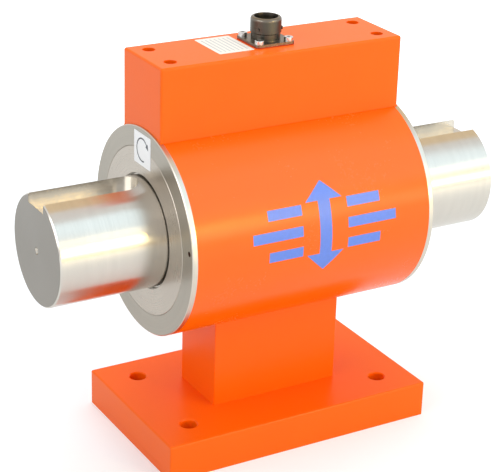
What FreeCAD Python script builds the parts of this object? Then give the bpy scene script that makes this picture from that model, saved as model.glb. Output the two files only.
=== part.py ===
"""Rotary torque sensor: a one-piece torsion shaft that turns on two bearings in a footed housing.

X runs along the shaft, Z is up, and the origin is at the bottom centre of the base plate.
Lengths are in millimetres. On-axis pieces are drawn from the middle of the shaft line.
"""
import FreeCAD, Part
import math
import os

import Sketcher
from FreeCAD import Vector

document = FreeCAD.newDocument("rotary_torque_sensor")
sheet = document.addObject("Spreadsheet::Sheet", "Sizes")
NODES = []


class Size:
    """A length that carries both its value and the sheet formula that gives it."""

    def __init__(self, value, formula):
        self.value = value
        self.formula = formula

    def __add__(self, other):
        return combined(self, "+", other)

    def __radd__(self, other):
        return combined(other, "+", self)

    def __sub__(self, other):
        return combined(self, "-", other)

    def __rsub__(self, other):
        return combined(other, "-", self)

    def __mul__(self, other):
        return combined(self, "*", other)

    def __rmul__(self, other):
        return combined(other, "*", self)

    def __truediv__(self, other):
        return combined(self, "/", other)

    def __neg__(self):
        return combined(0, "-", self)


def as_size(amount):
    """A plain number as a Size."""
    return amount if isinstance(amount, Size) else Size(float(amount), repr(amount))


def combined(left, sign, right):
    """The sum, difference, product or quotient of two sizes, with its formula."""
    left, right = as_size(left), as_size(right)
    results = {
        "+": lambda: left.value + right.value,
        "-": lambda: left.value - right.value,
        "*": lambda: left.value * right.value,
        "/": lambda: left.value / right.value,
    }
    return Size(results[sign](), f"({left.formula} {sign} {right.formula})")


def square_root(amount):
    """The square root of a size's value, with its formula."""
    return Size(math.sqrt(amount.value), f"sqrt({amount.formula})")


def chord_height(radius, offset):
    """How far a circle of this radius stands from its centre line, at this offset from it."""
    return square_root(radius * radius - offset * offset)


def size(name, value, meaning):
    """Write one driving dimension in the sheet and return it."""
    row = len([cell for cell in sheet.PropertiesList if cell.startswith("B") and cell[1:].isdigit()]) + 1
    sheet.set(f"A{row}", name)
    sheet.set(f"B{row}", repr(value))
    sheet.set(f"C{row}", meaning)
    sheet.setAlias(f"B{row}", name)
    document.recompute()
    return Size(float(value), f"Sizes.{name}")


# Driving dimensions: the shaft line
axis_height = size("axis_height", 145.0, "shaft axis above the floor")
shaft_radius = size("shaft_radius", 35.0, "radius of the two shaft ends")
shaft_stub = size("shaft_stub", 70.0, "how far each shaft end stands out of the housing")
shaft_end_chamfer = size("shaft_end_chamfer", 1.0, "chamfer round each shaft end")
keyway_width = size("keyway_width", 22.0, "width of each keyway")
keyway_depth = size("keyway_depth", 7.5, "depth of each keyway below the shaft's top")
keyway_margin = size("keyway_margin", 4.0, "from the housing's end to the round end of each keyway")
centre_drill_radius = size("centre_drill_radius", 2.5, "mouth of the centre drilling in each shaft end")
centre_cone_depth = size("centre_cone_depth", 3.5, "depth of the centre drilling's cone")
centre_pilot_radius = size("centre_pilot_radius", 1.25, "radius of the pilot hole below the cone")
centre_drill_depth = size("centre_drill_depth", 5.5, "depth of the centre drilling")
centre_drill_point = size("centre_drill_point", 1.1, "cone at the bottom of the pilot hole")
bearing_land = size("bearing_land", 2.3, "land outside each bearing circlip's groove")
cut_overrun = size("cut_overrun", 1.0, "how far a cut runs past the surface that it opens")
torsion_radius = size("torsion_radius", 30.0, "radius of the measuring section")
torsion_reach = size("torsion_reach", 27.0, "from the middle to each end of the measuring section")
torsion_fillet = size("torsion_fillet", 4.0, "fillet at each end of the measuring section")
collar_radius = size("collar_radius", 43.0, "radius of the two collars")
collar_width = size("collar_width", 5.0, "width of the two collars")
core_seat_radius = size("core_seat_radius", 40.0, "radius of the seats beside the bearings")

# Driving dimensions: bearings
bearing_bore_radius = size("bearing_bore_radius", 37.5, "bore radius of the bearings")
bearing_outer_radius = size("bearing_outer_radius", 52.5, "outer radius of the bearings")
bearing_width = size("bearing_width", 16.0, "width of the bearings")
bearing_chamfer = size("bearing_chamfer", 0.8, "chamfer on the bearing rings")
ball_radius = size("ball_radius", 4.35, "radius of a bearing ball")
ball_count = size("ball_count", 12, "balls in each bearing")
race_clearance = size("race_clearance", 0.25, "from a ball to the bottom of its groove")
groove_radius = size("groove_radius", 4.6, "section radius of the ball grooves")
land_gap = size("land_gap", 2.0, "from the ball circle to each ring's land")
cage_thickness = size("cage_thickness", 2.2, "radial thickness of a cage")
cage_width = size("cage_width", 11.0, "width of a cage")
pocket_clearance = size("pocket_clearance", 0.15, "round each ball in its cage")

# Driving dimensions: housing
sleeve_radius = size("sleeve_radius", 66.0, "outer radius of the painted sleeve")
sleeve_wall = size("sleeve_wall", 8.0, "wall of the painted sleeve")
sleeve_reach = size("sleeve_reach", 82.5, "from the middle to each end of the sleeve")
sleeve_flat_depth = size("sleeve_flat_depth", 2.4, "depth of the flat milled under the box")
flat_end_margin = size("flat_end_margin", 2.0, "from each end of the flat to the box's solid ends")
cap_rim = size("cap_rim", 3.5, "thickness of the bare steel rim at each end")
cap_edge = size("cap_edge", 0.6, "chamfer round each bare steel rim")
cap_depth = size("cap_depth", 30.0, "overall depth of an end cap")
cap_lip_radius = size("cap_lip_radius", 48.0, "bore of the lip behind each bearing")
cap_clearance = size("cap_clearance", 0.05, "radial clearance of an end cap in the sleeve")
cap_float = size("cap_float", 0.6, "free play behind the right bearing's outer ring")
seal_ring_section = size("seal_ring_section", 2.5, "section of the square seal rings")
seal_groove_width = size("seal_groove_width", 3.2, "width of the seal ring grooves")
seal_land = size("seal_land", 1.4, "land beside each seal ring groove")
seal_clearance = size("seal_clearance", 0.1, "between each seal ring and the bottom of its groove")
spanner_hole_radius = size("spanner_hole_radius", 1.6, "radius of the pin spanner holes")
spanner_hole_across = size("spanner_hole_across", 61.5, "pin spanner holes across from the shaft axis")
spanner_hole_depth = size("spanner_hole_depth", 4.0, "depth of the pin spanner holes")
spanner_hole_rise = size("spanner_hole_rise", 8.3, "front pin spanner hole above the shaft axis")
spanner_hole_count = size("spanner_hole_count", 2, "pin spanner holes in each end cap")
cover_radius = size("cover_radius", 53.0, "outer radius of the bearing covers")
cover_depth = size("cover_depth", 8.0, "depth of the bearing covers")
cover_web = size("cover_web", 2.5, "thickness of a cover at the shaft")
cover_recess_radius = size("cover_recess_radius", 47.5, "radius of the recess in each cover")
cover_shaft_gap = size("cover_shaft_gap", 1.2, "open gap between a cover and the shaft")
seam_edge = size("seam_edge", 0.3, "chamfer on both sides of the seam round each cover")
spring_height = size("spring_height", 1.5, "installed height of the preload spring")
spring_thickness = size("spring_thickness", 0.6, "thickness of the preload spring")
spring_margin = size("spring_margin", 0.4, "from the spring's rims to the steps beside them")
seat_clearance = size("seat_clearance", 0.05, "between seated faces")

# Driving dimensions: foot
base_length = size("base_length", 190.0, "base plate along the shaft")
base_width = size("base_width", 116.0, "base plate across the shaft")
base_thickness = size("base_thickness", 24.0, "thickness of the base plate")
base_edge = size("base_edge", 1.2, "rounding of the base plate's edges")
mount_hole_radius = size("mount_hole_radius", 5.5, "radius of the four mounting holes")
mount_hole_edge = size("mount_hole_edge", 0.6, "chamfer round the mounting holes")
mount_spacing_x = size("mount_spacing_x", 142.0, "mounting holes along the shaft")
mount_spacing_y = size("mount_spacing_y", 72.0, "mounting holes across the shaft")
pedestal_length = size("pedestal_length", 91.0, "pedestal along the shaft")
pedestal_width = size("pedestal_width", 45.0, "pedestal across the shaft")
pedestal_edge = size("pedestal_edge", 0.8, "rounding of the pedestal's upright edges")
base_screw_x = size("base_screw_x", 64.0, "base screws' spacing along the shaft")
base_screw_y = size("base_screw_y", 26.0, "base screws' spacing across the shaft")
base_screw_radius = size("base_screw_radius", 4.0, "radius of the M8 base screws")
base_screw_length = size("base_screw_length", 30.0, "length of the base screws under the head")
base_screw_sink = size("base_screw_sink", 9.5, "depth of the base screws' counterbores")
base_screw_head = size("base_screw_head", 6.5, "radius of the base screws' heads")
base_screw_head_height = size("base_screw_head_height", 8.0, "height of the base screws' heads")
base_screw_socket = size("base_screw_socket", 6.0, "across the flats of the base screws' sockets")
base_head_room = size("base_head_room", 0.9, "round the base screws' heads in their counterbores")
tapping_run_out = size("tapping_run_out", 2.0, "how far the pedestal's tapped holes pass their screws")
pedestal_screw_x = size("pedestal_screw_x", 56.0, "pedestal screws' spacing along the shaft")
pedestal_screw_y = size("pedestal_screw_y", 20.0, "pedestal screws' spacing across the shaft")
pedestal_screw_radius = size("pedestal_screw_radius", 3.0, "radius of the M6 pedestal screws")
pedestal_screw_length = size("pedestal_screw_length", 20.0, "length of the pedestal screws under the head")
pedestal_screw_head = size("pedestal_screw_head", 5.0, "radius of the pedestal screws' low heads")
pedestal_screw_head_height = size("pedestal_screw_head_height", 4.0, "height of the pedestal screws' heads")
pedestal_screw_socket = size("pedestal_screw_socket", 4.0, "across the flats of the pedestal screws' sockets")
pedestal_head_room = size("pedestal_head_room", 0.3, "round the pedestal screws' heads in the sleeve")
pedestal_screw_wall = size("pedestal_screw_wall", 3.2, "sleeve wall left under those heads")
screw_bevel_share = size("screw_bevel_share", 0.2, "bevel on a screw, as a share of its radius")
socket_depth_share = size("socket_depth_share", 0.55, "depth of a socket, as a share of its head's height")

# Driving dimensions: electronics box
box_overhang = size("box_overhang", 2.0, "how far the box reaches past each end of the sleeve")
box_width = size("box_width", 50.0, "electronics box across the shaft")
box_rise = size("box_rise", 109.0, "top of the electronics box above the shaft axis")
box_offset = size("box_offset", 4.0, "middle of the box behind the shaft axis")
box_wall = size("box_wall", 4.0, "side walls of the box")
box_roof = size("box_roof", 5.0, "roof of the box")
box_end_block = size("box_end_block", 20.5, "solid block at each end of the box")
box_edge = size("box_edge", 1.5, "rounding of the box's outer edges")
gasket_thickness = size("gasket_thickness", 0.6, "gasket between the box and the sleeve")
box_screw_inset = size("box_screw_inset", 11.5, "from each end of the box to its screws")
box_screw_y = size("box_screw_y", 28.0, "box screws' spacing across the shaft")
box_screw_radius = size("box_screw_radius", 2.0, "radius of the M4 box screws")
box_screw_length = size("box_screw_length", 35.0, "length of the box screws under the head")
box_screw_sink = size("box_screw_sink", 15.0, "depth of the box screws' counterbores")
box_screw_bore = size("box_screw_bore", 4.0, "radius of the box screws' counterbores")
box_screw_head = size("box_screw_head", 3.5, "radius of the box screws' heads")
box_screw_head_height = size("box_screw_head_height", 4.0, "height of the box screws' heads")
box_screw_socket = size("box_screw_socket", 3.0, "across the flats of the box screws' sockets")
box_hole_clearance = size("box_hole_clearance", 0.25, "round the box screws in the box and its gasket")
short_run_out = size("short_run_out", 0.4, "how far the sleeve's tapped holes pass their screws")
gasket_inset = size("gasket_inset", 0.2, "from the box's long sides to the gasket's edges")

# Driving dimensions: rotary transformers and speed wheel
energy_width = size("energy_width", 16.0, "width of the energy transformer's rings")
signal_width = size("signal_width", 10.0, "width of the signal transformer's rings")
core_flank = size("core_flank", 2.5, "side walls of the transformer cores")
rotor_core_radius = size("rotor_core_radius", 50.0, "outer radius of the rotor cores")
air_gap = size("air_gap", 0.8, "air gap of the transformers and the speed pickup")
core_back = size("core_back", 2.6, "back wall of the stator cores")
rotor_core_back = size("rotor_core_back", 5.0, "back wall of the rotor cores")
winding_inset = size("winding_inset", 0.5, "windings' depth below the mouths of their grooves")
spacer_wall = size("spacer_wall", 2.9, "wall of the spacer tubes between the stator cores")
wheel_radius = size("wheel_radius", 50.5, "tip radius of the speed wheel")
wheel_tooth = size("wheel_tooth", 3.0, "tooth height of the speed wheel")
wheel_teeth = size("wheel_teeth", 60, "teeth of the speed wheel")
wheel_width = size("wheel_width", 5.0, "width of the toothed rim")
wheel_hub_width = size("wheel_hub_width", 8.0, "width of the speed wheel's hub")
wheel_hub_radius = size("wheel_hub_radius", 44.0, "radius of the speed wheel's hub")
circlip_width = size("circlip_width", 2.5, "thickness of the circlips")
circlip_play = size("circlip_play", 0.1, "end play of the circlips in their grooves")
circlip_groove = size("circlip_groove", 1.6, "depth of the circlip grooves")
circlip_height = size("circlip_height", 4.5, "radial height of a circlip's ring")
circlip_opening = size("circlip_opening", 30.0, "angle that a circlip leaves open")

# Driving dimensions: rotor electronics
gauge_length = size("gauge_length", 12.0, "strain gauges along the shaft")
gauge_angle = size("gauge_angle", 24.0, "angle that a strain gauge spans")
gauge_thickness = size("gauge_thickness", 0.3, "strain gauge with its cover film")
rotor_board_inner = size("rotor_board_inner", 31.6, "inner radius of the rotor board halves")
rotor_board_outer = size("rotor_board_outer", 48.0, "outer radius of the rotor board halves")
rotor_board_split = size("rotor_board_split", 0.6, "gap between the rotor board halves")
board_thickness = size("board_thickness", 1.6, "thickness of the circuit boards")
rotor_spacer_length = size("rotor_spacer_length", 6.0, "length of the rotor board's spacers")
rotor_spacer_radius = size("rotor_spacer_radius", 2.75, "radius of the rotor board's spacers")
rotor_spacer_circle = size("rotor_spacer_circle", 38.0, "circle radius of the rotor board's spacers")
rotor_lead_circle = size("rotor_lead_circle", 46.6, "circle radius of the rotor leads")
lead_radius = size("lead_radius", 0.5, "radius of the insulated leads")
lead_hole_radius = size("lead_hole_radius", 0.8, "radius of the holes for single leads")
gauge_lead_radius = size("gauge_lead_radius", 0.3, "radius of the strain gauges' leads")
gauge_count = size("gauge_count", 4, "strain gauges round the measuring section")
rotor_lead_count = size("rotor_lead_count", 2, "leads from the rotor board to each winding")
rotor_screw_count = size("rotor_screw_count", 6, "screws round the rotor board")
rotor_screw_spare = size("rotor_screw_spare", 1.0, "from those screws' tips to the collar's far face")

# Driving dimensions: stator electronics
board_length = size("board_length", 100.0, "main board along the shaft")
board_width = size("board_width", 34.0, "main board across the shaft")
board_middle = size("board_middle", -9.0, "middle of the main board along the shaft")
standoff_height = size("standoff_height", 9.4, "height of the board's standoffs")
standoff_flats = size("standoff_flats", 5.5, "across the flats of the standoffs")
standoff_x = size("standoff_x", 84.0, "standoffs' spacing along the shaft")
standoff_y = size("standoff_y", 20.0, "standoffs' spacing across the shaft")
small_screw_radius = size("small_screw_radius", 1.5, "radius of the M3 screws")
small_screw_head = size("small_screw_head", 2.7, "radius of the boards' screw heads")
small_screw_head_height = size("small_screw_head_height", 1.5, "height of the boards' screw heads")
small_screw_clearance = size("small_screw_clearance", 0.1, "round the M3 screws in boards and flange")
board_screw_length = size("board_screw_length", 6.0, "length of the main board's screws under the head")
standoff_web = size("standoff_web", 2.0, "left below the tapped hole in a standoff")
stud_length = size("stud_length", 4.5, "threaded stud of a standoff")
grommet_bore = size("grommet_bore", 1.8, "bore radius of the lead grommets")
grommet_wall = size("grommet_wall", 0.8, "wall of the lead grommets")
grommet_flange = size("grommet_flange", 0.9, "how far a grommet's rim stands out")
grommet_rim = size("grommet_rim", 0.8, "height of a grommet's rim")
grommet_inset = size("grommet_inset", 0.4, "from the sleeve's bore to a grommet's lower end")
lead_spacing = size("lead_spacing", 2.4, "spacing of a pair of leads")
pickup_radius = size("pickup_radius", 3.0, "radius of the speed pickup's threaded body")
pickup_length = size("pickup_length", 30.0, "length of the speed pickup")
pickup_edge = size("pickup_edge", 0.5, "chamfer round the pickup's tip")
pickup_neck_length = size("pickup_neck_length", 3.0, "length of the pickup's neck at its lead")
pickup_neck_step = size("pickup_neck_step", 1.0, "how far the pickup's neck is set in")
pickup_hole_clearance = size("pickup_hole_clearance", 0.3, "round the pickup in the right spacer")
pickup_landing = size("pickup_landing", 4.0, "from the main board's end to the pickup's lead")
chip_length = size("chip_length", 9.0, "length of a chip on the main board")
chip_width = size("chip_width", 7.0, "width of a chip")
chip_height = size("chip_height", 2.0, "height of a chip")
can_radius = size("can_radius", 4.0, "radius of a can capacitor")
can_height = size("can_height", 12.0, "height of a can capacitor")
pickup_nut_flats = size("pickup_nut_flats", 10.0, "across the flats of the pickup's lock nut")
pickup_nut_height = size("pickup_nut_height", 3.0, "height of the pickup's lock nut")
pickup_lead_radius = size("pickup_lead_radius", 1.2, "radius of the pickup's lead")
pickup_lead_rise = size("pickup_lead_rise", 4.0, "straight rise of the pickup's lead before its bow")

# Driving dimensions: connector
flange_side = size("flange_side", 26.6, "side of the connector's square flange")
flange_thickness = size("flange_thickness", 1.6, "thickness of the connector's flange")
flange_corner = size("flange_corner", 1.8, "corner radius of the connector's flange")
flange_gasket = size("flange_gasket", 0.6, "gasket under the connector's flange")
flange_screw_spacing = size("flange_screw_spacing", 20.6, "spacing of the connector's screws")
flange_screw_length = size("flange_screw_length", 6.5, "length of the connector's screws under the head")
flange_screw_head = size("flange_screw_head", 2.85, "radius of the connector's screw heads")
flange_screw_head_height = size("flange_screw_head_height", 2.4, "height of the connector's screw heads")
flange_screw_socket = size("flange_screw_socket", 2.0, "across the flats of their sockets")
barrel_radius = size("barrel_radius", 9.7, "outer radius of the connector's barrel")
barrel_wall = size("barrel_wall", 2.2, "wall of the connector's barrel")
barrel_neck = size("barrel_neck", 0.6, "how far the barrel's neck is set in")
barrel_neck_height = size("barrel_neck_height", 4.0, "height of the barrel's neck")
barrel_height = size("barrel_height", 14.0, "height of the barrel above the flange")
barrel_rim_radius = size("barrel_rim_radius", 1.6, "rounding of the barrel's rim")
barrel_lug_count = size("barrel_lug_count", 3, "coupling lugs round the barrel")
barrel_lug_radius = size("barrel_lug_radius", 1.1, "radius of the three coupling lugs")
barrel_lug_height = size("barrel_lug_height", 0.7, "how far the coupling lugs stand proud")
lug_drop = size("lug_drop", 7.0, "from the barrel's rim down to the coupling lugs")
tail_radius = size("tail_radius", 8.0, "radius of the connector's tail inside the box")
tail_length = size("tail_length", 9.0, "length of the tail below the flange")
tail_wall = size("tail_wall", 1.0, "wall of the tail round the insert")
tail_clearance = size("tail_clearance", 0.3, "round the tail in the box and the gasket")
insert_floor = size("insert_floor", 3.0, "height of the insert's face above the flange")
insert_inset = size("insert_inset", 2.0, "from the tail's lower end up to the insert")
pin_clearance = size("pin_clearance", 0.02, "round each pin in the insert")
pin_radius = size("pin_radius", 0.8, "radius of the contact pins")
pin_circle = size("pin_circle", 4.6, "circle radius of the contact pins")
pin_count = size("pin_count", 6, "contact pins on the circle")
pin_height = size("pin_height", 6.0, "height of the contact pins above the insert")
pin_tail = size("pin_tail", 3.0, "length of the contact tails below the insert")

# Derived places on the shaft line
housing_reach = sleeve_reach + cap_rim
shaft_reach = housing_reach + shaft_stub
keyway_inner_end = housing_reach + keyway_margin
box_length = (sleeve_reach + box_overhang) * 2
box_screw_x = box_length - box_screw_inset * 2
box_top = axis_height + box_rise
sleeve_flat_reach = box_length / 2 - box_end_block - flat_end_margin
cap_inner = housing_reach - cap_depth
bearing_outer_face = housing_reach - cover_depth
bearing_inner_face = bearing_outer_face - bearing_width
ball_circle = (bearing_bore_radius + bearing_outer_radius) / 2
collar_outer = torsion_reach + collar_width
circlip_slot = circlip_width + circlip_play
wheel_start = collar_outer + signal_width
wheel_end = wheel_start + wheel_hub_width
wheel_middle = wheel_start + wheel_hub_width / 2
stator_core_bore = rotor_core_radius + air_gap
sleeve_bore = sleeve_radius - sleeve_wall
stack_radius = sleeve_bore - seat_clearance
rotor_groove = core_seat_radius + rotor_core_back
stator_groove = stack_radius - core_back
energy_middle = -(collar_outer + energy_width / 2)
signal_middle = collar_outer + signal_width / 2
flat_height = sleeve_radius - sleeve_flat_depth
board_underside = flat_height + standoff_height
board_upperside = board_underside + board_thickness
sliding_clearance = seat_clearance

SIDES = {"left": -1, "right": 1}
# Places on the main board, counted from its middle
CHIP_PLACES = ((-6, -8), (-6, 9), (28, 3))
CAN_PLACES = ((-30, 8), (-19, 8), (-30, -6))
HEX_CORNER = 1 / math.sqrt(3)
FULL_TURN = 360.0


def bind(item, path, amount):
    """Tie one property to its formula."""
    item.setExpression(path, as_size(amount).formula)


def piece(label, height=axis_height, across=0):
    """An empty body whose own origin is at this height, and this far behind the shaft axis."""
    body = document.addObject("PartDesign::Body", label)
    body.Label = label
    body.AllowCompound = True
    bind(body, "Placement.Base.y", across)
    bind(body, "Placement.Base.z", height)
    NODES.append(body)
    return body


def datum(body, role):
    """One of the body's own origin planes or axes."""
    found = next(item for item in body.Origin.OriginFeatures if item.Role == role)
    return (found, [""])


def new_sketch(body, role, place=(0, 0, 0)):
    """A sketch on one of the body's own planes, with its origin moved to place in its own axes."""
    sketch = body.newObject("Sketcher::SketchObject", "Sketch")
    sketch.AttachmentSupport = datum(body, role)
    sketch.MapMode = "FlatFace"
    for axis, amount in zip("xyz", place):
        bind(sketch, f"AttachmentOffset.Base.{axis}", amount)
    return sketch


def side_sketch(body, x=0, y=0, z=0):
    """A sketch in the upright plane along the shaft, seen from the front."""
    return new_sketch(body, "XZ_Plane", (x, z, -as_size(y)))


def level_sketch(body, z=0, x=0, y=0):
    """A sketch in a level plane at height z."""
    return new_sketch(body, "XY_Plane", (x, y, z))


def end_sketch(body, x=0):
    """A sketch square to the shaft, at x."""
    return new_sketch(body, "YZ_Plane", (0, 0, x))


def hold(sketch, geometry, point, x, y):
    """Fix one point of a sketch by its distances from the sketch's origin."""
    for kind, amount, axis in (("DistanceX", as_size(x), -2), ("DistanceY", as_size(y), -1)):
        if amount.value == 0 and amount.formula in ("0", "0.0"):
            sketch.addConstraint(Sketcher.Constraint("PointOnObject", geometry, point, axis))
            continue
        index = sketch.addConstraint(Sketcher.Constraint(kind, -1, 1, geometry, point, amount.value))
        bind(sketch, f"Constraints[{index}]", amount)


def hold_height(sketch, geometry, point, y):
    """Fix only the second coordinate of a point of a sketch."""
    index = sketch.addConstraint(Sketcher.Constraint("DistanceY", -1, 1, geometry, point, y.value))
    bind(sketch, f"Constraints[{index}]", y)


def outline(sketch, corners):
    """A closed outline with straight sides through these corners."""
    first = sketch.GeometryCount
    count = len(corners)
    places = [Vector(as_size(x).value, as_size(y).value, 0) for x, y in corners]
    sides = [Part.LineSegment(places[i], places[(i + 1) % count]) for i in range(count)]
    sketch.addGeometry(sides, False)
    for i in range(count):
        following = first + (i + 1) % count
        sketch.addConstraint(Sketcher.Constraint("Coincident", first + i, 2, following, 1))
    for i, (x, y) in enumerate(corners):
        hold(sketch, first + i, 1, x, y)


def rectangle(sketch, low, high):
    """A rectangle between two opposite corners."""
    (x1, y1), (x2, y2) = low, high
    outline(sketch, [(x1, y1), (x2, y1), (x2, y2), (x1, y2)])


def centred_rectangle(sketch, length, width, x=0, y=0):
    """A rectangle round a middle point."""
    low = (x - length / 2, y - width / 2)
    high = (x + length / 2, y + width / 2)
    rectangle(sketch, low, high)


def circle(sketch, x, y, radius):
    """A circle with its centre and radius held."""
    radius = as_size(radius)
    middle = Vector(as_size(x).value, as_size(y).value, 0)
    index = sketch.addGeometry(Part.Circle(middle, Vector(0, 0, 1), radius.value), False)
    hold(sketch, index, 3, x, y)
    constraint = sketch.addConstraint(Sketcher.Constraint("Radius", index, radius.value))
    bind(sketch, f"Constraints[{constraint}]", radius)


def hexagon(sketch, across_flats):
    """A hexagon round the sketch's origin, given across its flats."""
    corner = across_flats * HEX_CORNER
    half = across_flats / 2
    outline(sketch, [(0, corner), (-half, corner / 2), (-half, -corner / 2),
                     (0, -corner), (half, -corner / 2), (half, corner / 2)])


def feature(body, kind, sketch, **sizes):
    """A sketch-based feature with its lengths and angles bound."""
    item = body.newObject(f"PartDesign::{kind}", kind)
    item.Profile = sketch
    for name, amount in sizes.items():
        bind(item, name, amount)
    return item


def pad(body, sketch, length, backwards=False):
    """Raise a sketch into a solid."""
    item = feature(body, "Pad", sketch, Length=length)
    item.Reversed = backwards
    return item


def pocket(body, sketch, depth, forwards=False):
    """Cut a sketch out, against the sketch's own normal unless forwards."""
    item = feature(body, "Pocket", sketch, Length=depth)
    item.Reversed = forwards
    return item


def turn(body, sketch, axis="H_Axis", angle=FULL_TURN, kind="Revolution"):
    """Revolve a sketch about one of its own axes, as material or as a cut."""
    item = body.newObject(f"PartDesign::{kind}", kind)
    item.Profile = sketch
    item.ReferenceAxis = (sketch, [axis])
    bind(item, "Angle", angle)
    return item


def turned_ring(body, corners):
    """A ring or shaft turned about the shaft axis from (x, radius) corners."""
    sketch = side_sketch(body)
    outline(sketch, corners)
    return turn(body, sketch)


def turned_cut(body, corners):
    """A groove or bore turned about the shaft axis from (x, radius) corners."""
    sketch = side_sketch(body)
    outline(sketch, corners)
    return turn(body, sketch, kind="Groove")


def ring_corners(x1, x2, inner, outer):
    """The corners of a plain ring's section."""
    return [(x1, inner), (x2, inner), (x2, outer), (x1, outer)]


def round_the_axis(body, originals, count):
    """Repeat features evenly round the shaft axis."""
    pattern = body.newObject("PartDesign::PolarPattern", "PolarPattern")
    pattern.Originals = originals
    pattern.Axis = datum(body, "X_Axis")
    pattern.Angle = FULL_TURN
    bind(pattern, "Occurrences", count)
    body.Tip = pattern
    return pattern


def round_the_upright(body, originals, count):
    """Repeat features evenly round the body's own upright axis."""
    pattern = body.newObject("PartDesign::PolarPattern", "PolarPattern")
    pattern.Originals = originals
    pattern.Axis = datum(body, "Z_Axis")
    pattern.Angle = FULL_TURN
    bind(pattern, "Occurrences", count)
    body.Tip = pattern
    return pattern


def on_both_ends(body, originals):
    """Mirror features from one end of the shaft line to the other."""
    mirror = body.newObject("PartDesign::Mirrored", "Mirrored")
    mirror.Originals = originals
    mirror.MirrorPlane = datum(body, "YZ_Plane")
    body.Tip = mirror
    return mirror


def on_four_corners(body, originals):
    """Mirror features along and across the body, which makes four of each."""
    corners = body.newObject("PartDesign::MultiTransform", "MultiTransform")
    corners.Originals = originals
    mirrors = []
    for role in ("YZ_Plane", "XZ_Plane"):
        mirror = body.newObject("PartDesign::Mirrored", "Mirrored")
        mirror.MirrorPlane = datum(body, role)
        mirrors.append(mirror)
    corners.Transformations = mirrors
    body.Tip = corners
    return corners


def edges_of(shape, wanted):
    """The names of the edges that pass a test."""
    return [f"Edge{i + 1}" for i, edge in enumerate(shape.Edges) if wanted(edge)]


def dress(body, kind, amount, wanted):
    """Fillet or chamfer the edges of the body's last feature that pass a test."""
    document.recompute()
    base = body.Tip
    item = body.newObject(f"PartDesign::{kind}", kind)
    item.Base = (base, edges_of(base.Shape, wanted))
    bind(item, "Radius" if kind == "Fillet" else "Size", amount)
    return item


def is_upright(edge):
    """Whether an edge is a straight upright one."""
    box = edge.BoundBox
    return box.ZLength > 1 and box.XLength < 1e-6 and box.YLength < 1e-6


def lies_level_at(edge, z):
    """Whether an edge lies level at height z."""
    box = edge.BoundBox
    return abs(box.ZMin - as_size(z).value) < 1e-4 and box.ZLength < 1e-4


# Foot

def base_plate():
    """The plate that bolts down, with four mounting holes and four sunk screw holes below."""
    body = piece("base_plate", 0)
    sketch = level_sketch(body)
    centred_rectangle(sketch, base_length, base_width)
    pad(body, sketch, base_thickness)
    dress(body, "Fillet", base_edge, is_upright)
    dress(body, "Fillet", base_edge, lambda edge: lies_level_at(edge, base_thickness))
    mount = level_sketch(body, base_thickness)
    circle(mount, mount_spacing_x / 2, mount_spacing_y / 2, mount_hole_radius)
    drilling = pocket(body, mount, base_thickness)
    sink = side_sketch(body, mount_spacing_x / 2, mount_spacing_y / 2)
    rim = mount_hole_radius + mount_hole_edge
    outline(sink, [(0, base_thickness - rim), (0, base_thickness), (rim, base_thickness)])
    sunk = turn(body, sink, "V_Axis", kind="Groove")
    screw = level_sketch(body)
    circle(screw, base_screw_x / 2, base_screw_y / 2, base_screw_radius + seat_clearance)
    shank_hole = pocket(body, screw, base_thickness, forwards=True)
    head = level_sketch(body)
    circle(head, base_screw_x / 2, base_screw_y / 2, base_screw_head + base_head_room)
    head_hole = pocket(body, head, base_screw_sink, forwards=True)
    on_four_corners(body, [drilling, sunk, shank_hole, head_hole])


def pedestal():
    """The block between the plate and the sleeve, hollowed on top to the sleeve's curve."""
    body = piece("pedestal")
    bottom = base_thickness - axis_height
    sketch = level_sketch(body, bottom)
    centred_rectangle(sketch, pedestal_length, pedestal_width)
    pad(body, sketch, axis_height - base_thickness)
    dress(body, "Fillet", pedestal_edge, is_upright)
    turned_cut(body, ring_corners(-pedestal_length, pedestal_length, 0, sleeve_radius + seat_clearance))
    below = level_sketch(body, bottom)
    circle(below, base_screw_x / 2, base_screw_y / 2, base_screw_radius + seat_clearance)
    depth = base_screw_length - (base_thickness - base_screw_sink) + tapping_run_out
    base_tapping = pocket(body, below, depth, forwards=True)
    above = level_sketch(body)
    circle(above, pedestal_screw_x / 2, pedestal_screw_y / 2, pedestal_screw_radius + seat_clearance)
    reach = pedestal_screw_seat() + pedestal_screw_length + tapping_run_out
    top_tapping = pocket(body, above, reach)
    on_four_corners(body, [base_tapping, top_tapping])


def pedestal_screw_seat():
    """How far below the shaft axis the pedestal screws' heads bear on the sleeve."""
    return chord_height(sleeve_radius, pedestal_screw_y / 2) - pedestal_screw_wall


def socket_screws(body, x, y, seat, radius, length, head_radius, head_height, socket_flats, upwards=True):
    """Four socket head screws in a rectangle, with their heads above or below the seat."""
    way = 1 if upwards else -1
    sketch = side_sketch(body, x / 2, y / 2)
    crown = seat + way * head_height
    tip = seat - way * length
    bevel = radius * screw_bevel_share
    outline(sketch, [(0, crown), (head_radius - bevel, crown), (head_radius, crown - way * bevel),
                     (head_radius, seat), (radius, seat), (radius, tip + way * bevel),
                     (radius - bevel, tip), (0, tip)])
    blank = turn(body, sketch, "V_Axis")
    socket = level_sketch(body, crown, x / 2, y / 2)
    hexagon(socket, socket_flats)
    broached = pocket(body, socket, head_height * socket_depth_share, forwards=not upwards)
    on_four_corners(body, [blank, broached])


def base_screws():
    """Four socket screws from under the plate into the pedestal."""
    body = piece("base_screws", 0)
    socket_screws(body, base_screw_x, base_screw_y, base_screw_sink, base_screw_radius, base_screw_length,
                  base_screw_head, base_screw_head_height, base_screw_socket, upwards=False)


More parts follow.
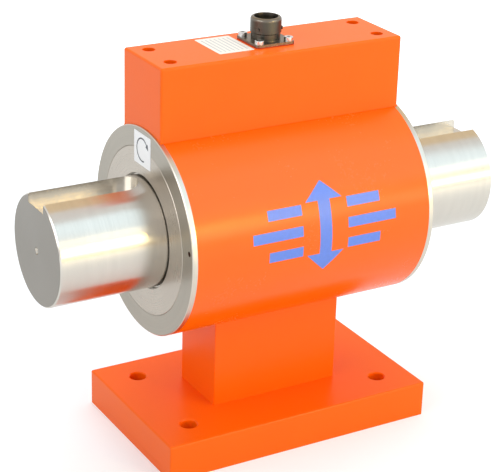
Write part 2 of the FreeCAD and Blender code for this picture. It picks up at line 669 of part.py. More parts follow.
def pedestal_screws():
    """Four low head screws from inside the sleeve into the pedestal."""
    body = piece("pedestal_screws")
    socket_screws(body, pedestal_screw_x, pedestal_screw_y, -pedestal_screw_seat(), pedestal_screw_radius,
                  pedestal_screw_length, pedestal_screw_head, pedestal_screw_head_height,
                  pedestal_screw_socket)


# Housing

def housing_sleeve():
    """The painted tube, with a flat on top under the box and holes for all that fastens to it."""
    body = piece("housing_sleeve")
    turned_ring(body, ring_corners(-sleeve_reach, sleeve_reach, sleeve_bore, sleeve_radius))
    flat = level_sketch(body, flat_height)
    centred_rectangle(flat, sleeve_flat_reach * 2, sleeve_radius)
    pocket(body, flat, sleeve_radius, forwards=True)
    openings = level_sketch(body, sleeve_radius)
    for x in (energy_middle, signal_middle):
        circle(openings, x, 0, grommet_bore + grommet_wall)
    circle(openings, wheel_middle, 0, pickup_radius + sliding_clearance)
    pocket(body, openings, sleeve_wall * 2)
    studs = level_sketch(body, flat_height)
    for x in (-1, 1):
        for y in (-1, 1):
            circle(studs, board_middle + x * standoff_x / 2, box_offset + y * standoff_y / 2,
                   small_screw_radius + sliding_clearance)
    pocket(body, studs, stud_length + short_run_out)
    tappings = level_sketch(body, sleeve_radius)
    for x in (-1, 1):
        for y in (-1, 1):
            circle(tappings, x * box_screw_x / 2, box_offset + y * box_screw_y / 2,
                   box_screw_radius + sliding_clearance)
    pocket(body, tappings, sleeve_radius - box_screw_tip() + short_run_out)
    shanks = level_sketch(body, -sleeve_bore / 2)
    circle(shanks, pedestal_screw_x / 2, pedestal_screw_y / 2, pedestal_screw_radius + sliding_clearance)
    shank_holes = pocket(body, shanks, sleeve_radius)
    heads = level_sketch(body, -pedestal_screw_seat())
    circle(heads, pedestal_screw_x / 2, pedestal_screw_y / 2, pedestal_screw_head + pedestal_head_room)
    head_seats = pocket(body, heads, sleeve_wall, forwards=True)
    on_four_corners(body, [shank_holes, head_seats])


def box_screw_tip():
    """Height of the box screws' tips above the shaft axis."""
    return box_rise - box_screw_sink - box_screw_length


def end_cap(side):
    """A bare steel cap that screws into the sleeve and carries one bearing."""
    way = SIDES[side]
    body = piece(f"{side}_end_cap")
    spigot = sleeve_bore - cap_clearance
    seat_start = bearing_inner_face - (cap_float if way > 0 else 0)
    cover_bore = cover_radius + seat_clearance
    corners = [(cap_inner, cap_lip_radius), (seat_start, cap_lip_radius), (seat_start, bearing_outer_radius),
               (bearing_outer_face, bearing_outer_radius), (bearing_outer_face, cover_bore),
               (housing_reach - seam_edge, cover_bore), (housing_reach, cover_bore + seam_edge),
               (housing_reach, sleeve_radius - cap_edge),
               (housing_reach - cap_edge, sleeve_radius), (sleeve_reach, sleeve_radius),
               (sleeve_reach, spigot), (cap_inner, spigot)]
    turned_ring(body, [(way * x, radius) for x, radius in corners])
    groove_start = cap_inner + seal_land
    groove = ring_corners(way * groove_start, way * (groove_start + seal_groove_width),
                          sleeve_bore - seal_ring_section, sleeve_bore + cut_overrun)
    turned_cut(body, groove)
    sketch = end_sketch(body, way * housing_reach)
    circle(sketch, -spanner_hole_across, spanner_hole_rise, spanner_hole_radius)
    drilled = pocket(body, sketch, spanner_hole_depth, forwards=way < 0)
    round_the_axis(body, [drilled], spanner_hole_count)


def cap_seal_rings():
    """The square rubber ring in the groove of each end cap."""
    body = piece("cap_seal_rings")
    start = cap_inner + seal_land + (seal_groove_width - seal_ring_section) / 2
    outer = sleeve_bore - seat_clearance
    inner = outer - seal_ring_section + seal_clearance
    ring = turned_ring(body, ring_corners(start, start + seal_ring_section, inner, outer))
    on_both_ends(body, [ring])


def cover(side):
    """The disc that closes one end round the shaft and holds the bearing in."""
    way = SIDES[side]
    body = piece(f"{side}_cover")
    rim_start = bearing_outer_face + (spring_height if way > 0 else 0)
    web_start = housing_reach - cover_web
    bore = shaft_radius + cover_shaft_gap
    corners = [(rim_start, cover_recess_radius), (web_start, cover_recess_radius), (web_start, bore),
               (housing_reach - seam_edge, bore), (housing_reach, bore + seam_edge),
               (housing_reach, cover_radius - seam_edge), (housing_reach - seam_edge, cover_radius),
               (rim_start, cover_radius)]
    turned_ring(body, [(way * x, radius) for x, radius in corners])


def preload_spring():
    """The dished ring that presses the right bearing's outer ring inwards."""
    body = piece("preload_spring")
    start = bearing_outer_face
    end = bearing_outer_face + spring_height
    inner = cover_recess_radius + spring_margin
    outer = bearing_outer_radius - spring_margin
    turned_ring(body, [(end, inner), (end - spring_thickness, inner), (start, outer),
                       (start + spring_thickness, outer)])


# Bearings

def bearing_ring(side, name, back, land, groove_bottom):
    """One bearing ring, turned with chamfered corners and a round ball groove."""
    way = SIDES[side]
    body = piece(f"{side}_{name}")
    outwards = 1 if back.value > land.value else -1
    start, end, bevel = bearing_inner_face, bearing_outer_face, bearing_chamfer
    corners = [(start, land), (end, land), (end, back - outwards * bevel), (end - bevel, back),
               (start + bevel, back), (start, back - outwards * bevel)]
    turned_ring(body, [(way * x, radius) for x, radius in corners])
    sketch = side_sketch(body)
    middle = way * (start + end) / 2
    circle(sketch, middle, groove_bottom - outwards * groove_radius, groove_radius)
    turn(body, sketch, kind="Groove")


def outer_ring(side):
    """The bearing ring that stays in the end cap."""
    bottom = ball_circle + ball_radius + race_clearance
    bearing_ring(side, "outer_ring", bearing_outer_radius, ball_circle + land_gap, bottom)


def inner_ring(side):
    """The bearing ring that turns with the shaft."""
    bottom = ball_circle - ball_radius - race_clearance
    bearing_ring(side, "inner_ring", bearing_bore_radius, ball_circle - land_gap, bottom)


def bearing_balls(side):
    """The balls of one bearing."""
    body = piece(f"{side}_balls")
    ball = body.newObject("PartDesign::AdditiveSphere", "Ball")
    bind(ball, "Radius", ball_radius)
    bind(ball, "Placement.Base.x", SIDES[side] * (bearing_inner_face + bearing_width / 2))
    bind(ball, "Placement.Base.z", ball_circle)
    round_the_axis(body, [ball], ball_count)


def bearing_cage(side):
    """The ring that keeps one bearing's balls apart, with a round pocket for each."""
    body = piece(f"{side}_cage")
    middle = SIDES[side] * (bearing_inner_face + bearing_width / 2)
    inner = ball_circle - cage_thickness / 2
    outer = ball_circle + cage_thickness / 2
    turned_ring(body, ring_corners(middle - cage_width / 2, middle + cage_width / 2, inner, outer))
    sketch = level_sketch(body)
    circle(sketch, middle, 0, ball_radius + pocket_clearance)
    drilled = pocket(body, sketch, bearing_outer_radius, forwards=True)
    round_the_axis(body, [drilled], ball_count)


# Rotor

def torsion_shaft():
    """The shaft, turned in one piece, with a keyway and a centre drilling at each end."""
    body = piece("torsion_shaft")
    land_end = bearing_outer_face + circlip_slot + bearing_land
    bevel = shaft_end_chamfer
    half = [(torsion_reach, torsion_radius), (torsion_reach, collar_radius), (collar_outer, collar_radius),
            (collar_outer, core_seat_radius), (bearing_inner_face, core_seat_radius),
            (bearing_inner_face, bearing_bore_radius), (land_end, bearing_bore_radius),
            (land_end, shaft_radius), (shaft_reach - bevel, shaft_radius),
            (shaft_reach, shaft_radius - bevel)]
    left = [(-x, radius) for x, radius in reversed(half)]
    turned_ring(body, [(-shaft_reach, 0)] + left + half + [(shaft_reach, 0)])
    dress(body, "Fillet", torsion_fillet, is_torsion_root)
    core_grooves = ((-1, collar_outer + energy_width), (1, wheel_end))
    for way, start in core_grooves:
        turned_cut(body, ring_corners(way * start, way * (start + circlip_slot),
                                      core_seat_radius - circlip_groove, core_seat_radius + cut_overrun))
    bearing_groove = turned_cut(body, ring_corners(bearing_outer_face, bearing_outer_face + circlip_slot,
                                                   bearing_bore_radius - circlip_groove,
                                                   bearing_bore_radius + cut_overrun))
    floor = shaft_radius - keyway_depth
    arc_middle = keyway_inner_end + keyway_width / 2
    slot = level_sketch(body, floor)
    rectangle(slot, (arc_middle, -keyway_width / 2), (shaft_reach + cut_overrun, keyway_width / 2))
    milled = pocket(body, slot, keyway_depth + cut_overrun, forwards=True)
    round_end = level_sketch(body, floor)
    circle(round_end, arc_middle, 0, keyway_width / 2)
    plunged = pocket(body, round_end, keyway_depth + cut_overrun, forwards=True)
    centre = side_sketch(body)
    outline(centre, [(shaft_reach, 0), (shaft_reach, centre_drill_radius),
                     (shaft_reach - centre_cone_depth, centre_pilot_radius),
                     (shaft_reach - centre_drill_depth, centre_pilot_radius),
                     (shaft_reach - centre_drill_depth - centre_drill_point, 0)])
    drilled = turn(body, centre, kind="Groove")
    on_both_ends(body, [bearing_groove, milled, plunged, drilled])
    collar_holes = end_sketch(body, torsion_reach)
    circle(collar_holes, 0, rotor_spacer_circle, small_screw_radius + sliding_clearance)
    tapped = pocket(body, collar_holes, collar_width, forwards=True)
    round_the_axis(body, [tapped], rotor_screw_count)


def is_torsion_root(edge):
    """Whether an edge is the root circle at either end of the measuring section."""
    box = edge.BoundBox
    at_end = abs(abs(box.Center.x) - torsion_reach.value) < 1e-4 and box.XLength < 1e-4
    return at_end and abs(box.ZMax - torsion_radius.value) < 1e-3


def circlip(body, x, seat_radius):
    """An open spring ring in a groove of this seat radius, with its gap at the bottom."""
    inner = seat_radius - circlip_groove + seat_clearance
    sketch = side_sketch(body)
    rectangle(sketch, (x, inner), (x + circlip_width, inner + circlip_height))
    ring = turn(body, sketch, angle=FULL_TURN - circlip_opening)
    return ring


def bearing_circlips():
    """The spring rings outside the two bearings."""
    body = piece("bearing_circlips")
    ring = circlip(body, bearing_outer_face + circlip_play / 2, bearing_bore_radius)
    on_both_ends(body, [ring])


def core_circlips():
    """The spring rings that hold the rotor cores against their collars."""
    body = piece("core_circlips")
    circlip(body, -(collar_outer + energy_width + circlip_play / 2 + circlip_width), core_seat_radius)
    circlip(body, wheel_end + circlip_play / 2, core_seat_radius)


def rotor_core(name, start, width, way):
    """A ring core on the shaft with a winding groove in its rim and a hole for each lead."""
    body = piece(f"{name}_rotor_core")
    end = start + way * width
    flank = way * core_flank
    turned_ring(body, [(start, core_seat_radius + seat_clearance), (end, core_seat_radius + seat_clearance),
                       (end, rotor_core_radius), (end - flank, rotor_core_radius),
                       (end - flank, rotor_groove), (start + flank, rotor_groove),
                       (start + flank, rotor_core_radius), (start, rotor_core_radius)])
    sketch = end_sketch(body, start)
    circle(sketch, 0, rotor_lead_circle, lead_hole_radius)
    drilled = pocket(body, sketch, core_flank, forwards=way > 0)
    round_the_axis(body, [drilled], rotor_lead_count)


def rotor_winding(name, start, width, way):
    """The coil in a rotor core's groove."""
    body = piece(f"{name}_rotor_winding")
    inset = way * (core_flank + seat_clearance)
    turned_ring(body, ring_corners(start + inset, start + way * width - inset, rotor_groove + seat_clearance,
                                   rotor_core_radius - winding_inset))


def stator_core(name, start, width, way):
    """A ring core in the sleeve with a winding groove in its bore and a hole for its leads."""
    body = piece(f"{name}_stator_core")
    end = start + way * width
    flank = way * core_flank
    turned_ring(body, [(start, stack_radius), (end, stack_radius), (end, stator_core_bore),
                       (end - flank, stator_core_bore), (end - flank, stator_groove),
                       (start + flank, stator_groove), (start + flank, stator_core_bore),
                       (start, stator_core_bore)])
    sketch = level_sketch(body, sleeve_radius)
    circle(sketch, start + way * width / 2, 0, grommet_bore)
    pocket(body, sketch, sleeve_radius - stator_core_bore)


def stator_winding(name, start, width, way):
    """The coil in a stator core's groove."""
    body = piece(f"{name}_stator_winding")
    inset = way * (core_flank + seat_clearance)
    turned_ring(body, ring_corners(start + inset, start + way * width - inset,
                                   stator_core_bore + winding_inset, stator_groove - seat_clearance))


def transformer(name, width, way):
    """One rotary transformer: its rotor and stator cores with their windings."""
    start = way * collar_outer
    rotor_core(name, start, width, way)
    rotor_winding(name, start, width, way)
    stator_core(name, start, width, way)
    stator_winding(name, start, width, way)


def spacer_tubes():
    """The three tubes that, with the stator cores, fill the sleeve from cap to cap."""
    inner = stack_radius - spacer_wall
    runs = {
        "left_spacer": (-cap_inner, -(collar_outer + energy_width)),
        "middle_spacer": (-collar_outer, collar_outer),
        "right_spacer": (wheel_start, cap_inner),
    }
    for label, (start, end) in runs.items():
        body = piece(label)
        turned_ring(body, ring_corners(start, end, inner, stack_radius))
        if label == "right_spacer":
            sketch = level_sketch(body, sleeve_radius)
            circle(sketch, wheel_middle, 0, pickup_radius + pickup_hole_clearance)
            pocket(body, sketch, sleeve_wall * 2)


def speed_wheel():
    """The toothed ring that the speed pickup counts, on the seat beside the signal core."""
    body = piece("speed_wheel")
    rim_start = wheel_middle - wheel_width / 2
    rim_end = wheel_middle + wheel_width / 2
    bore = core_seat_radius + seat_clearance
    turned_ring(body, [(wheel_start, bore), (wheel_end, bore), (wheel_end, wheel_hub_radius),
                       (rim_end, wheel_hub_radius), (rim_end, wheel_radius), (rim_start, wheel_radius),
                       (rim_start, wheel_hub_radius), (wheel_start, wheel_hub_radius)])
    gap = wheel_radius * math.pi / wheel_teeth
    sketch = end_sketch(body, rim_end)
    rectangle(sketch, (-gap / 2, wheel_radius - wheel_tooth), (gap / 2, wheel_radius + cut_overrun))
    cut = pocket(body, sketch, wheel_width)
    round_the_axis(body, [cut], wheel_teeth)


def strain_gauges():
    """Four foil gauges bonded round the measuring section."""
    body = piece("strain_gauges")
    inner = torsion_radius + seat_clearance
    sketch = side_sketch(body)
    rectangle(sketch, (-gauge_length / 2, inner), (gauge_length / 2, inner + gauge_thickness))
    patch = turn(body, sketch, angle=gauge_angle)
    patch.Midplane = True
    round_the_axis(body, [patch], gauge_count)


def rotor_board_face():
    """Where the rotor board's far face lies along the shaft."""
    return torsion_reach - rotor_spacer_length - board_thickness


def gauge_leads():
    """A lead from each gauge along the shaft to the rotor board."""
    body = piece("gauge_leads")
    sketch = end_sketch(body, gauge_length / 2)
    height = torsion_radius + seat_clearance + gauge_thickness + gauge_lead_radius
    circle(sketch, 0, height, gauge_lead_radius)
    run = pad(body, sketch, rotor_board_face() + board_thickness - gauge_length / 2)
    round_the_axis(body, [run], gauge_count)


def rotor_boards():
    """The rotor's circuit board, in two halves so that it goes round the one-piece shaft."""
    body = piece("rotor_boards")
    start = rotor_board_face()
    turned_ring(body, ring_corners(start, start + board_thickness, rotor_board_inner, rotor_board_outer))
    holes = end_sketch(body, start)
    circle(holes, 0, rotor_spacer_circle, small_screw_radius + small_screw_clearance)
    drilled = pocket(body, holes, board_thickness, forwards=True)
    round_the_axis(body, [drilled], rotor_screw_count)
    split = end_sketch(body, start)
    centred_rectangle(split, (rotor_board_outer + cut_overrun) * 2, rotor_board_split)
    pocket(body, split, board_thickness, forwards=True)


def rotor_board_spacers():
    """Six tubes between the collar and the rotor board."""
    body = piece("rotor_board_spacers")
    sketch = end_sketch(body, torsion_reach)
    circle(sketch, 0, rotor_spacer_circle, rotor_spacer_radius)
    circle(sketch, 0, rotor_spacer_circle, small_screw_radius + small_screw_clearance)
    tube = pad(body, sketch, rotor_spacer_length, backwards=True)
    round_the_axis(body, [tube], rotor_screw_count)


def rotor_board_screws():
    """Six screws through the rotor board and its spacers into the collar."""
    body = piece("rotor_board_screws")
    seat = rotor_board_face()
    shank = end_sketch(body, seat)
    circle(shank, 0, rotor_spacer_circle, small_screw_radius)
    run = pad(body, shank, board_thickness + rotor_spacer_length + collar_width - rotor_screw_spare)
    head = end_sketch(body, seat)
    circle(head, 0, rotor_spacer_circle, small_screw_head)
    crown = pad(body, head, small_screw_head_height, backwards=True)
    round_the_axis(body, [run, crown], rotor_screw_count)


def rotor_leads():
    """Two leads from the rotor board to each rotor winding."""
    body = piece("rotor_leads")
    board = rotor_board_face()
    ends = collar_outer + core_flank
    to_signal = end_sketch(body, board + board_thickness)
    circle(to_signal, 0, rotor_lead_circle, lead_radius)
    signal_run = pad(body, to_signal, ends - board - board_thickness)
    to_energy = end_sketch(body, board)
    circle(to_energy, 0, rotor_lead_circle, lead_radius)
    energy_run = pad(body, to_energy, board + ends, backwards=True)
    round_the_axis(body, [signal_run, energy_run], rotor_lead_count)


# Stator electronics

def lead_grommets():
    """The rubber bush in each lead hole of the sleeve."""
    body = piece("lead_grommets")
    outer = grommet_bore + grommet_wall - sliding_clearance
    bottom = sleeve_bore + grommet_inset
    top = flat_height + grommet_rim
    for x in (energy_middle, signal_middle):
        sketch = side_sketch(body, x)
        outline(sketch, [(grommet_bore, bottom), (outer, bottom), (outer, flat_height),
                         (outer + grommet_flange, flat_height), (outer + grommet_flange, top),
                         (grommet_bore, top)])
        turn(body, sketch, "V_Axis")


def stator_leads():
    """A pair of leads from each stator winding up to the main board."""
    body = piece("stator_leads")
    start = stator_groove - seat_clearance
    sketch = level_sketch(body, start)
    for x in (energy_middle, signal_middle):
        for y in (-1, 1):
            circle(sketch, x, y * lead_spacing / 2, lead_radius)
    pad(body, sketch, board_underside - start)


def speed_pickup():
    """The screwed-in sensor that looks at the speed wheel's teeth."""
    body = piece("speed_pickup")
    tip = wheel_radius + air_gap
    top = tip + pickup_length
    sketch = side_sketch(body, wheel_middle)
    neck = pickup_radius - pickup_neck_step
    shoulder = top - pickup_neck_length
    outline(sketch, [(0, tip), (pickup_radius - pickup_edge, tip), (pickup_radius, tip + pickup_edge),
                     (pickup_radius, shoulder - pickup_neck_step), (neck, shoulder), (neck, top), (0, top)])
    turn(body, sketch, "V_Axis")


def pickup_nut():
    """The hexagon lock nut on the pickup."""
    body = piece("pickup_nut")
    sketch = level_sketch(body, flat_height, wheel_middle)
    hexagon(sketch, pickup_nut_flats)
    circle(sketch, 0, 0, pickup_radius + sliding_clearance)
    pad(body, sketch, pickup_nut_height)


def pickup_lead():
    """The pickup's lead, over and down to the main board."""
    body = piece("pickup_lead")
    start = wheel_radius + air_gap + pickup_length
    landing = board_middle + board_length / 2 - pickup_landing
    bow_height = start + pickup_lead_rise
    bow_middle = (wheel_middle + landing) / 2
    path = side_sketch(body)
    bow = Part.Circle(Vector(bow_middle.value, bow_height.value, 0), Vector(0, 0, 1),
                      wheel_middle.value - bow_middle.value)
    right, left = wheel_middle.value, landing.value
    path.addGeometry([
        Part.LineSegment(Vector(right, start.value, 0), Vector(right, bow_height.value, 0)),
        Part.ArcOfCircle(bow, 0, math.pi),
        Part.LineSegment(Vector(left, bow_height.value, 0), Vector(left, board_upperside.value, 0)),
    ], False)
    path.addConstraint(Sketcher.Constraint("Coincident", 0, 2, 1, 1))
    path.addConstraint(Sketcher.Constraint("Coincident", 1, 2, 2, 1))
    hold(path, 0, 1, wheel_middle, start)
    hold(path, 0, 2, wheel_middle, bow_height)
    hold(path, 1, 3, bow_middle, bow_height)
    hold_height(path, 2, 1, bow_height)
    hold_height(path, 2, 2, board_upperside)
    path.addConstraint(Sketcher.Constraint("Vertical", 2))
    section = level_sketch(body, start, wheel_middle)
    circle(section, 0, 0, pickup_lead_radius)
    pipe = body.newObject("PartDesign::AdditivePipe", "AdditivePipe")
    pipe.Profile = section
    pipe.Spine = path


def board_corners(sketch, radius):
    """Four circles on the standoffs' places, in a sketch of a body at the board's middle."""
    for x in (-1, 1):
        for y in (-1, 1):
            circle(sketch, board_middle + x * standoff_x / 2, y * standoff_y / 2, radius)


def board_standoffs():
    """Four hexagon standoffs, each with a stud in the sleeve."""
    body = piece("board_standoffs", across=box_offset)
    for x in (-1, 1):
        for y in (-1, 1):
            sketch = level_sketch(body, flat_height, board_middle + x * standoff_x / 2, y * standoff_y / 2)
            hexagon(sketch, standoff_flats)
            pad(body, sketch, standoff_height)
    holes = level_sketch(body, board_underside)
    board_corners(holes, small_screw_radius)
    pocket(body, holes, standoff_height - standoff_web)
    studs = level_sketch(body, flat_height)
    board_corners(studs, small_screw_radius)
    pad(body, studs, stud_length, backwards=True)


def circuit_board():
    """The stator's main board."""
    body = piece("circuit_board", across=box_offset)
    sketch = level_sketch(body, board_underside)
    centred_rectangle(sketch, board_length, board_width, board_middle)
    pad(body, sketch, board_thickness)
    holes = level_sketch(body, board_upperside)
    board_corners(holes, small_screw_radius + small_screw_clearance)
    pocket(body, holes, board_thickness)


def board_screws():
    """Four screws that hold the main board to its standoffs."""
    body = piece("board_screws", across=box_offset)
    shanks = level_sketch(body, board_upperside)
    board_corners(shanks, small_screw_radius - seat_clearance)
    pad(body, shanks, board_screw_length, backwards=True)
    heads = level_sketch(body, board_upperside)
    board_corners(heads, small_screw_head)
    pad(body, heads, small_screw_head_height)


def board_chips():
    """The three chips soldered to the main board."""
    body = piece("board_chips", across=box_offset)
    sketch = level_sketch(body, board_upperside)
    for x, y in CHIP_PLACES:
        centred_rectangle(sketch, chip_length, chip_width, board_middle + x, as_size(y))
    pad(body, sketch, chip_height)


def board_capacitors():
    """The supply's three can capacitors on the main board."""
    body = piece("board_capacitors", across=box_offset)
    sketch = level_sketch(body, board_upperside)
    for x, y in CAN_PLACES:
        circle(sketch, board_middle + x, y, can_radius)
    pad(body, sketch, can_height)


# Electronics box

def box_gasket():
    """The thin curved gasket between the box and the sleeve."""
    body = piece("box_gasket")
    inner = sleeve_radius + seat_clearance
    turned_ring(body, ring_corners(-box_length / 2, box_length / 2, inner, inner + gasket_thickness))
    sketch = level_sketch(body)
    far = sleeve_radius * 2
    centred_rectangle(sketch, far * 2, far * 2)
    centred_rectangle(sketch, box_length, box_width - gasket_inset * 2, 0, box_offset)
    pocket(body, sketch, far, forwards=True)
    lower = level_sketch(body)
    centred_rectangle(lower, far * 2, far * 2)
    pocket(body, lower, far)
    window = level_sketch(body)
    cavity_outline(window)
    pocket(body, window, far, forwards=True)
    holes = level_sketch(body)
    box_screw_circles(holes, box_screw_radius + box_hole_clearance)
    pocket(body, holes, far, forwards=True)


def cavity_outline(sketch):
    """The hollow of the box, seen from above."""
    centred_rectangle(sketch, box_length - box_end_block * 2, box_width - box_wall * 2, 0, box_offset)


def box_screw_circles(sketch, radius):
    """Four circles on the box screws' places."""
    for x in (-1, 1):
        for y in (-1, 1):
            circle(sketch, x * box_screw_x / 2, box_offset + y * box_screw_y / 2, radius)


def electronics_box():
    """The one-piece box, hollow from below, with solid ends for its four sunk screws."""
    body = piece("electronics_box")
    sketch = level_sketch(body)
    centred_rectangle(sketch, box_length, box_width, 0, box_offset)
    pad(body, sketch, box_rise)
    dress(body, "Fillet", box_edge, lambda edge: is_upright(edge) or lies_level_at(edge, box_rise))
    saddle = sleeve_radius + seat_clearance * 2 + gasket_thickness
    turned_cut(body, ring_corners(-box_length, box_length, 0, saddle))
    hollow = level_sketch(body)
    cavity_outline(hollow)
    pocket(body, hollow, box_rise - box_roof, forwards=True)
    counterbores = level_sketch(body, box_rise)
    box_screw_circles(counterbores, box_screw_bore)
    pocket(body, counterbores, box_screw_sink)
    shanks = level_sketch(body, box_rise)
    box_screw_circles(shanks, box_screw_radius + box_hole_clearance)
    pocket(body, shanks, box_rise)
    socket = level_sketch(body, box_rise)
    circle(socket, 0, box_offset, tail_radius + tail_clearance)
    for x in (-1, 1):
        for y in (-1, 1):
            circle(socket, x * flange_screw_spacing / 2, box_offset + y * flange_screw_spacing / 2,
                   small_screw_radius + sliding_clearance)
    pocket(body, socket, box_roof)


def box_screws():
    """Four socket screws that hold the box to the sleeve."""
    body = piece("box_screws", across=box_offset)
    socket_screws(body, box_screw_x, box_screw_y, box_rise - box_screw_sink, box_screw_radius,
                  box_screw_length, box_screw_head, box_screw_head_height, box_screw_socket)


# Connector

def connector_gasket():
    """The flat gasket under the connector's flange."""
    body = piece("connector_gasket", box_top, box_offset)
    sketch = level_sketch(body)
    centred_rectangle(sketch, flange_side, flange_side)
    circle(sketch, 0, 0, tail_radius + tail_clearance)
    flange_screw_circles(sketch, small_screw_radius + small_screw_clearance)
    pad(body, sketch, flange_gasket)
    dress(body, "Fillet", flange_corner, is_flange_corner)


def is_flange_corner(edge):
    """Whether an edge is one of the flange's four upright corners."""
    box = edge.BoundBox
    straight = box.XLength < 1e-6 and box.YLength < 1e-6
    return straight and abs(abs(box.Center.x) - flange_side.value / 2) < 1e-4


def flange_screw_circles(sketch, radius):
    """Four circles on the connector screws' places."""
    for x in (-1, 1):
        for y in (-1, 1):
            circle(sketch, x * flange_screw_spacing / 2, y * flange_screw_spacing / 2, radius)


def connector_shell():
    """The connector's metal shell: square flange, barrel with three lugs, and tail."""
    body = piece("connector_shell", box_top, box_offset)
    flange_top = flange_gasket + flange_thickness
    rim = flange_top + barrel_height
    mouth = barrel_radius - barrel_wall
    sketch = level_sketch(body, flange_gasket)
    centred_rectangle(sketch, flange_side, flange_side)
    pad(body, sketch, flange_thickness)
    dress(body, "Fillet", flange_corner, is_flange_corner)
    barrel = side_sketch(body)
    neck = barrel_radius - barrel_neck
    outline(barrel, [(0, flange_gasket), (0, flange_top), (neck, flange_top),
                     (neck, flange_top + barrel_neck_height),
                     (barrel_radius, flange_top + barrel_neck_height + barrel_neck),
                     (barrel_radius, rim), (0, rim)])
    turn(body, barrel, "V_Axis")
    dress(body, "Fillet", barrel_rim_radius, lambda edge: lies_level_at(edge, rim))
    tail = level_sketch(body, flange_gasket)
    circle(tail, 0, 0, tail_radius)
    pad(body, tail, tail_length + flange_gasket, backwards=True)
    lug = side_sketch(body)
    lug_height = rim - lug_drop
    circle(lug, 0, lug_height, barrel_lug_radius)
    stub = pad(body, lug, barrel_radius + barrel_lug_height, backwards=True)
    round_the_upright(body, [stub], barrel_lug_count)
    bore = level_sketch(body, rim)
    circle(bore, 0, 0, mouth)
    pocket(body, bore, barrel_height - insert_floor)
    seat = level_sketch(body, flange_top + insert_floor)
    circle(seat, 0, 0, tail_radius - tail_wall)
    pocket(body, seat, barrel_height + tail_length + flange_gasket + flange_thickness)
    holes = level_sketch(body, flange_top)
    flange_screw_circles(holes, small_screw_radius + small_screw_clearance)
    pocket(body, holes, flange_thickness)


def connector_insert():
    """The moulded insert that holds the pins in the shell."""
    body = piece("connector_insert", box_top, box_offset)
    face = flange_gasket + flange_thickness + insert_floor
    sketch = level_sketch(body, face)
    circle(sketch, 0, 0, tail_radius - tail_wall - seat_clearance)
    pad(body, sketch, face + tail_length - insert_inset, backwards=True)
    holes = level_sketch(body, face)
    circle(holes, pin_circle, 0, pin_radius + pin_clearance)
    drilled = pocket(body, holes, face + tail_length)
    round_the_upright(body, [drilled], pin_count)


def connector_pins():
    """The contact pins, each through the insert with a solder tail."""
    body = piece("connector_pins", box_top, box_offset)
    face = flange_gasket + flange_thickness + insert_floor
    sketch = level_sketch(body, face + pin_height)
    circle(sketch, pin_circle, 0, pin_radius)
    pin = pad(body, sketch, face + pin_height + tail_length - insert_inset + pin_tail, backwards=True)
    round_the_upright(body, [pin], pin_count)


def connector_leads():
    """A lead from each contact's tail straight down to the main board."""
    body = piece("connector_leads", box_top, box_offset)
    start = board_upperside - box_rise
    end = insert_inset - tail_length - pin_tail
    sketch = level_sketch(body, start)
    circle(sketch, pin_circle, 0, lead_radius)
    run = pad(body, sketch, end - start)
    round_the_upright(body, [run], pin_count)


def connector_screws():
    """Four screws that hold the connector's flange to the box."""
    body = piece("connector_screws", box_top, box_offset)
    seat = flange_gasket + flange_thickness
    spacing = flange_screw_spacing
    socket_screws(body, spacing, spacing, seat, small_screw_radius, flange_screw_length,
                  flange_screw_head, flange_screw_head_height, flange_screw_socket)


def build_all():
    """Make every sub-part."""
    base_plate()
    pedestal()
    base_screws()
    housing_sleeve()
    pedestal_screws()
    cap_seal_rings()
    preload_spring()
    for side in SIDES:
        end_cap(side)
        cover(side)
        outer_ring(side)
        inner_ring(side)
        bearing_balls(side)
        bearing_cage(side)
    torsion_shaft()
    bearing_circlips()
    core_circlips()
    transformer("energy", energy_width, -1)
    transformer("signal", signal_width, 1)
    spacer_tubes()
    speed_wheel()
    strain_gauges()
    gauge_leads()
    rotor_boards()
    rotor_board_spacers()
    rotor_board_screws()
    rotor_leads()
    lead_grommets()
    stator_leads()
    speed_pickup()
    pickup_nut()
    pickup_lead()
    board_standoffs()
    circuit_board()
    board_screws()
    board_chips()
    board_capacitors()
    box_gasket()
    electronics_box()
    box_screws()
    connector_gasket()
    connector_shell()
    connector_insert()
    connector_pins()
    connector_leads()
    connector_screws()


def check_all():
    """Stop if any feature failed or any sub-part has no sound solid."""
    failed = [f"{item.Name} in {[parent.Label for parent in item.InList]}"
              for item in document.Objects if {"Invalid", "Error"} & set(item.State)]
    if failed:
        raise RuntimeError(f"failed features: {failed}")
    for body in NODES:
        shape = body.Shape
        if shape.isNull() or not shape.isValid() or not shape.Solids:
            raise RuntimeError(f"unsound sub-part: {body.Label}")


def write_all():
    """Write each sub-part to its own file."""
    os.makedirs("parts", exist_ok=True)
    for body in NODES:
        body.Shape.exportStep(f"parts/{body.Label}.step")


build_all()
document.recompute()
check_all()
write_all()
print(len(NODES), "sub-parts written")
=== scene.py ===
"""Looks of a rotary torque sensor: finishes, labels, printed mark and studio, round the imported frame."""
import math
from contextlib import contextmanager

import bmesh
import bpy
from bpy.props import FloatProperty, FloatVectorProperty, IntProperty, PointerProperty
from mathutils import Matrix, Vector


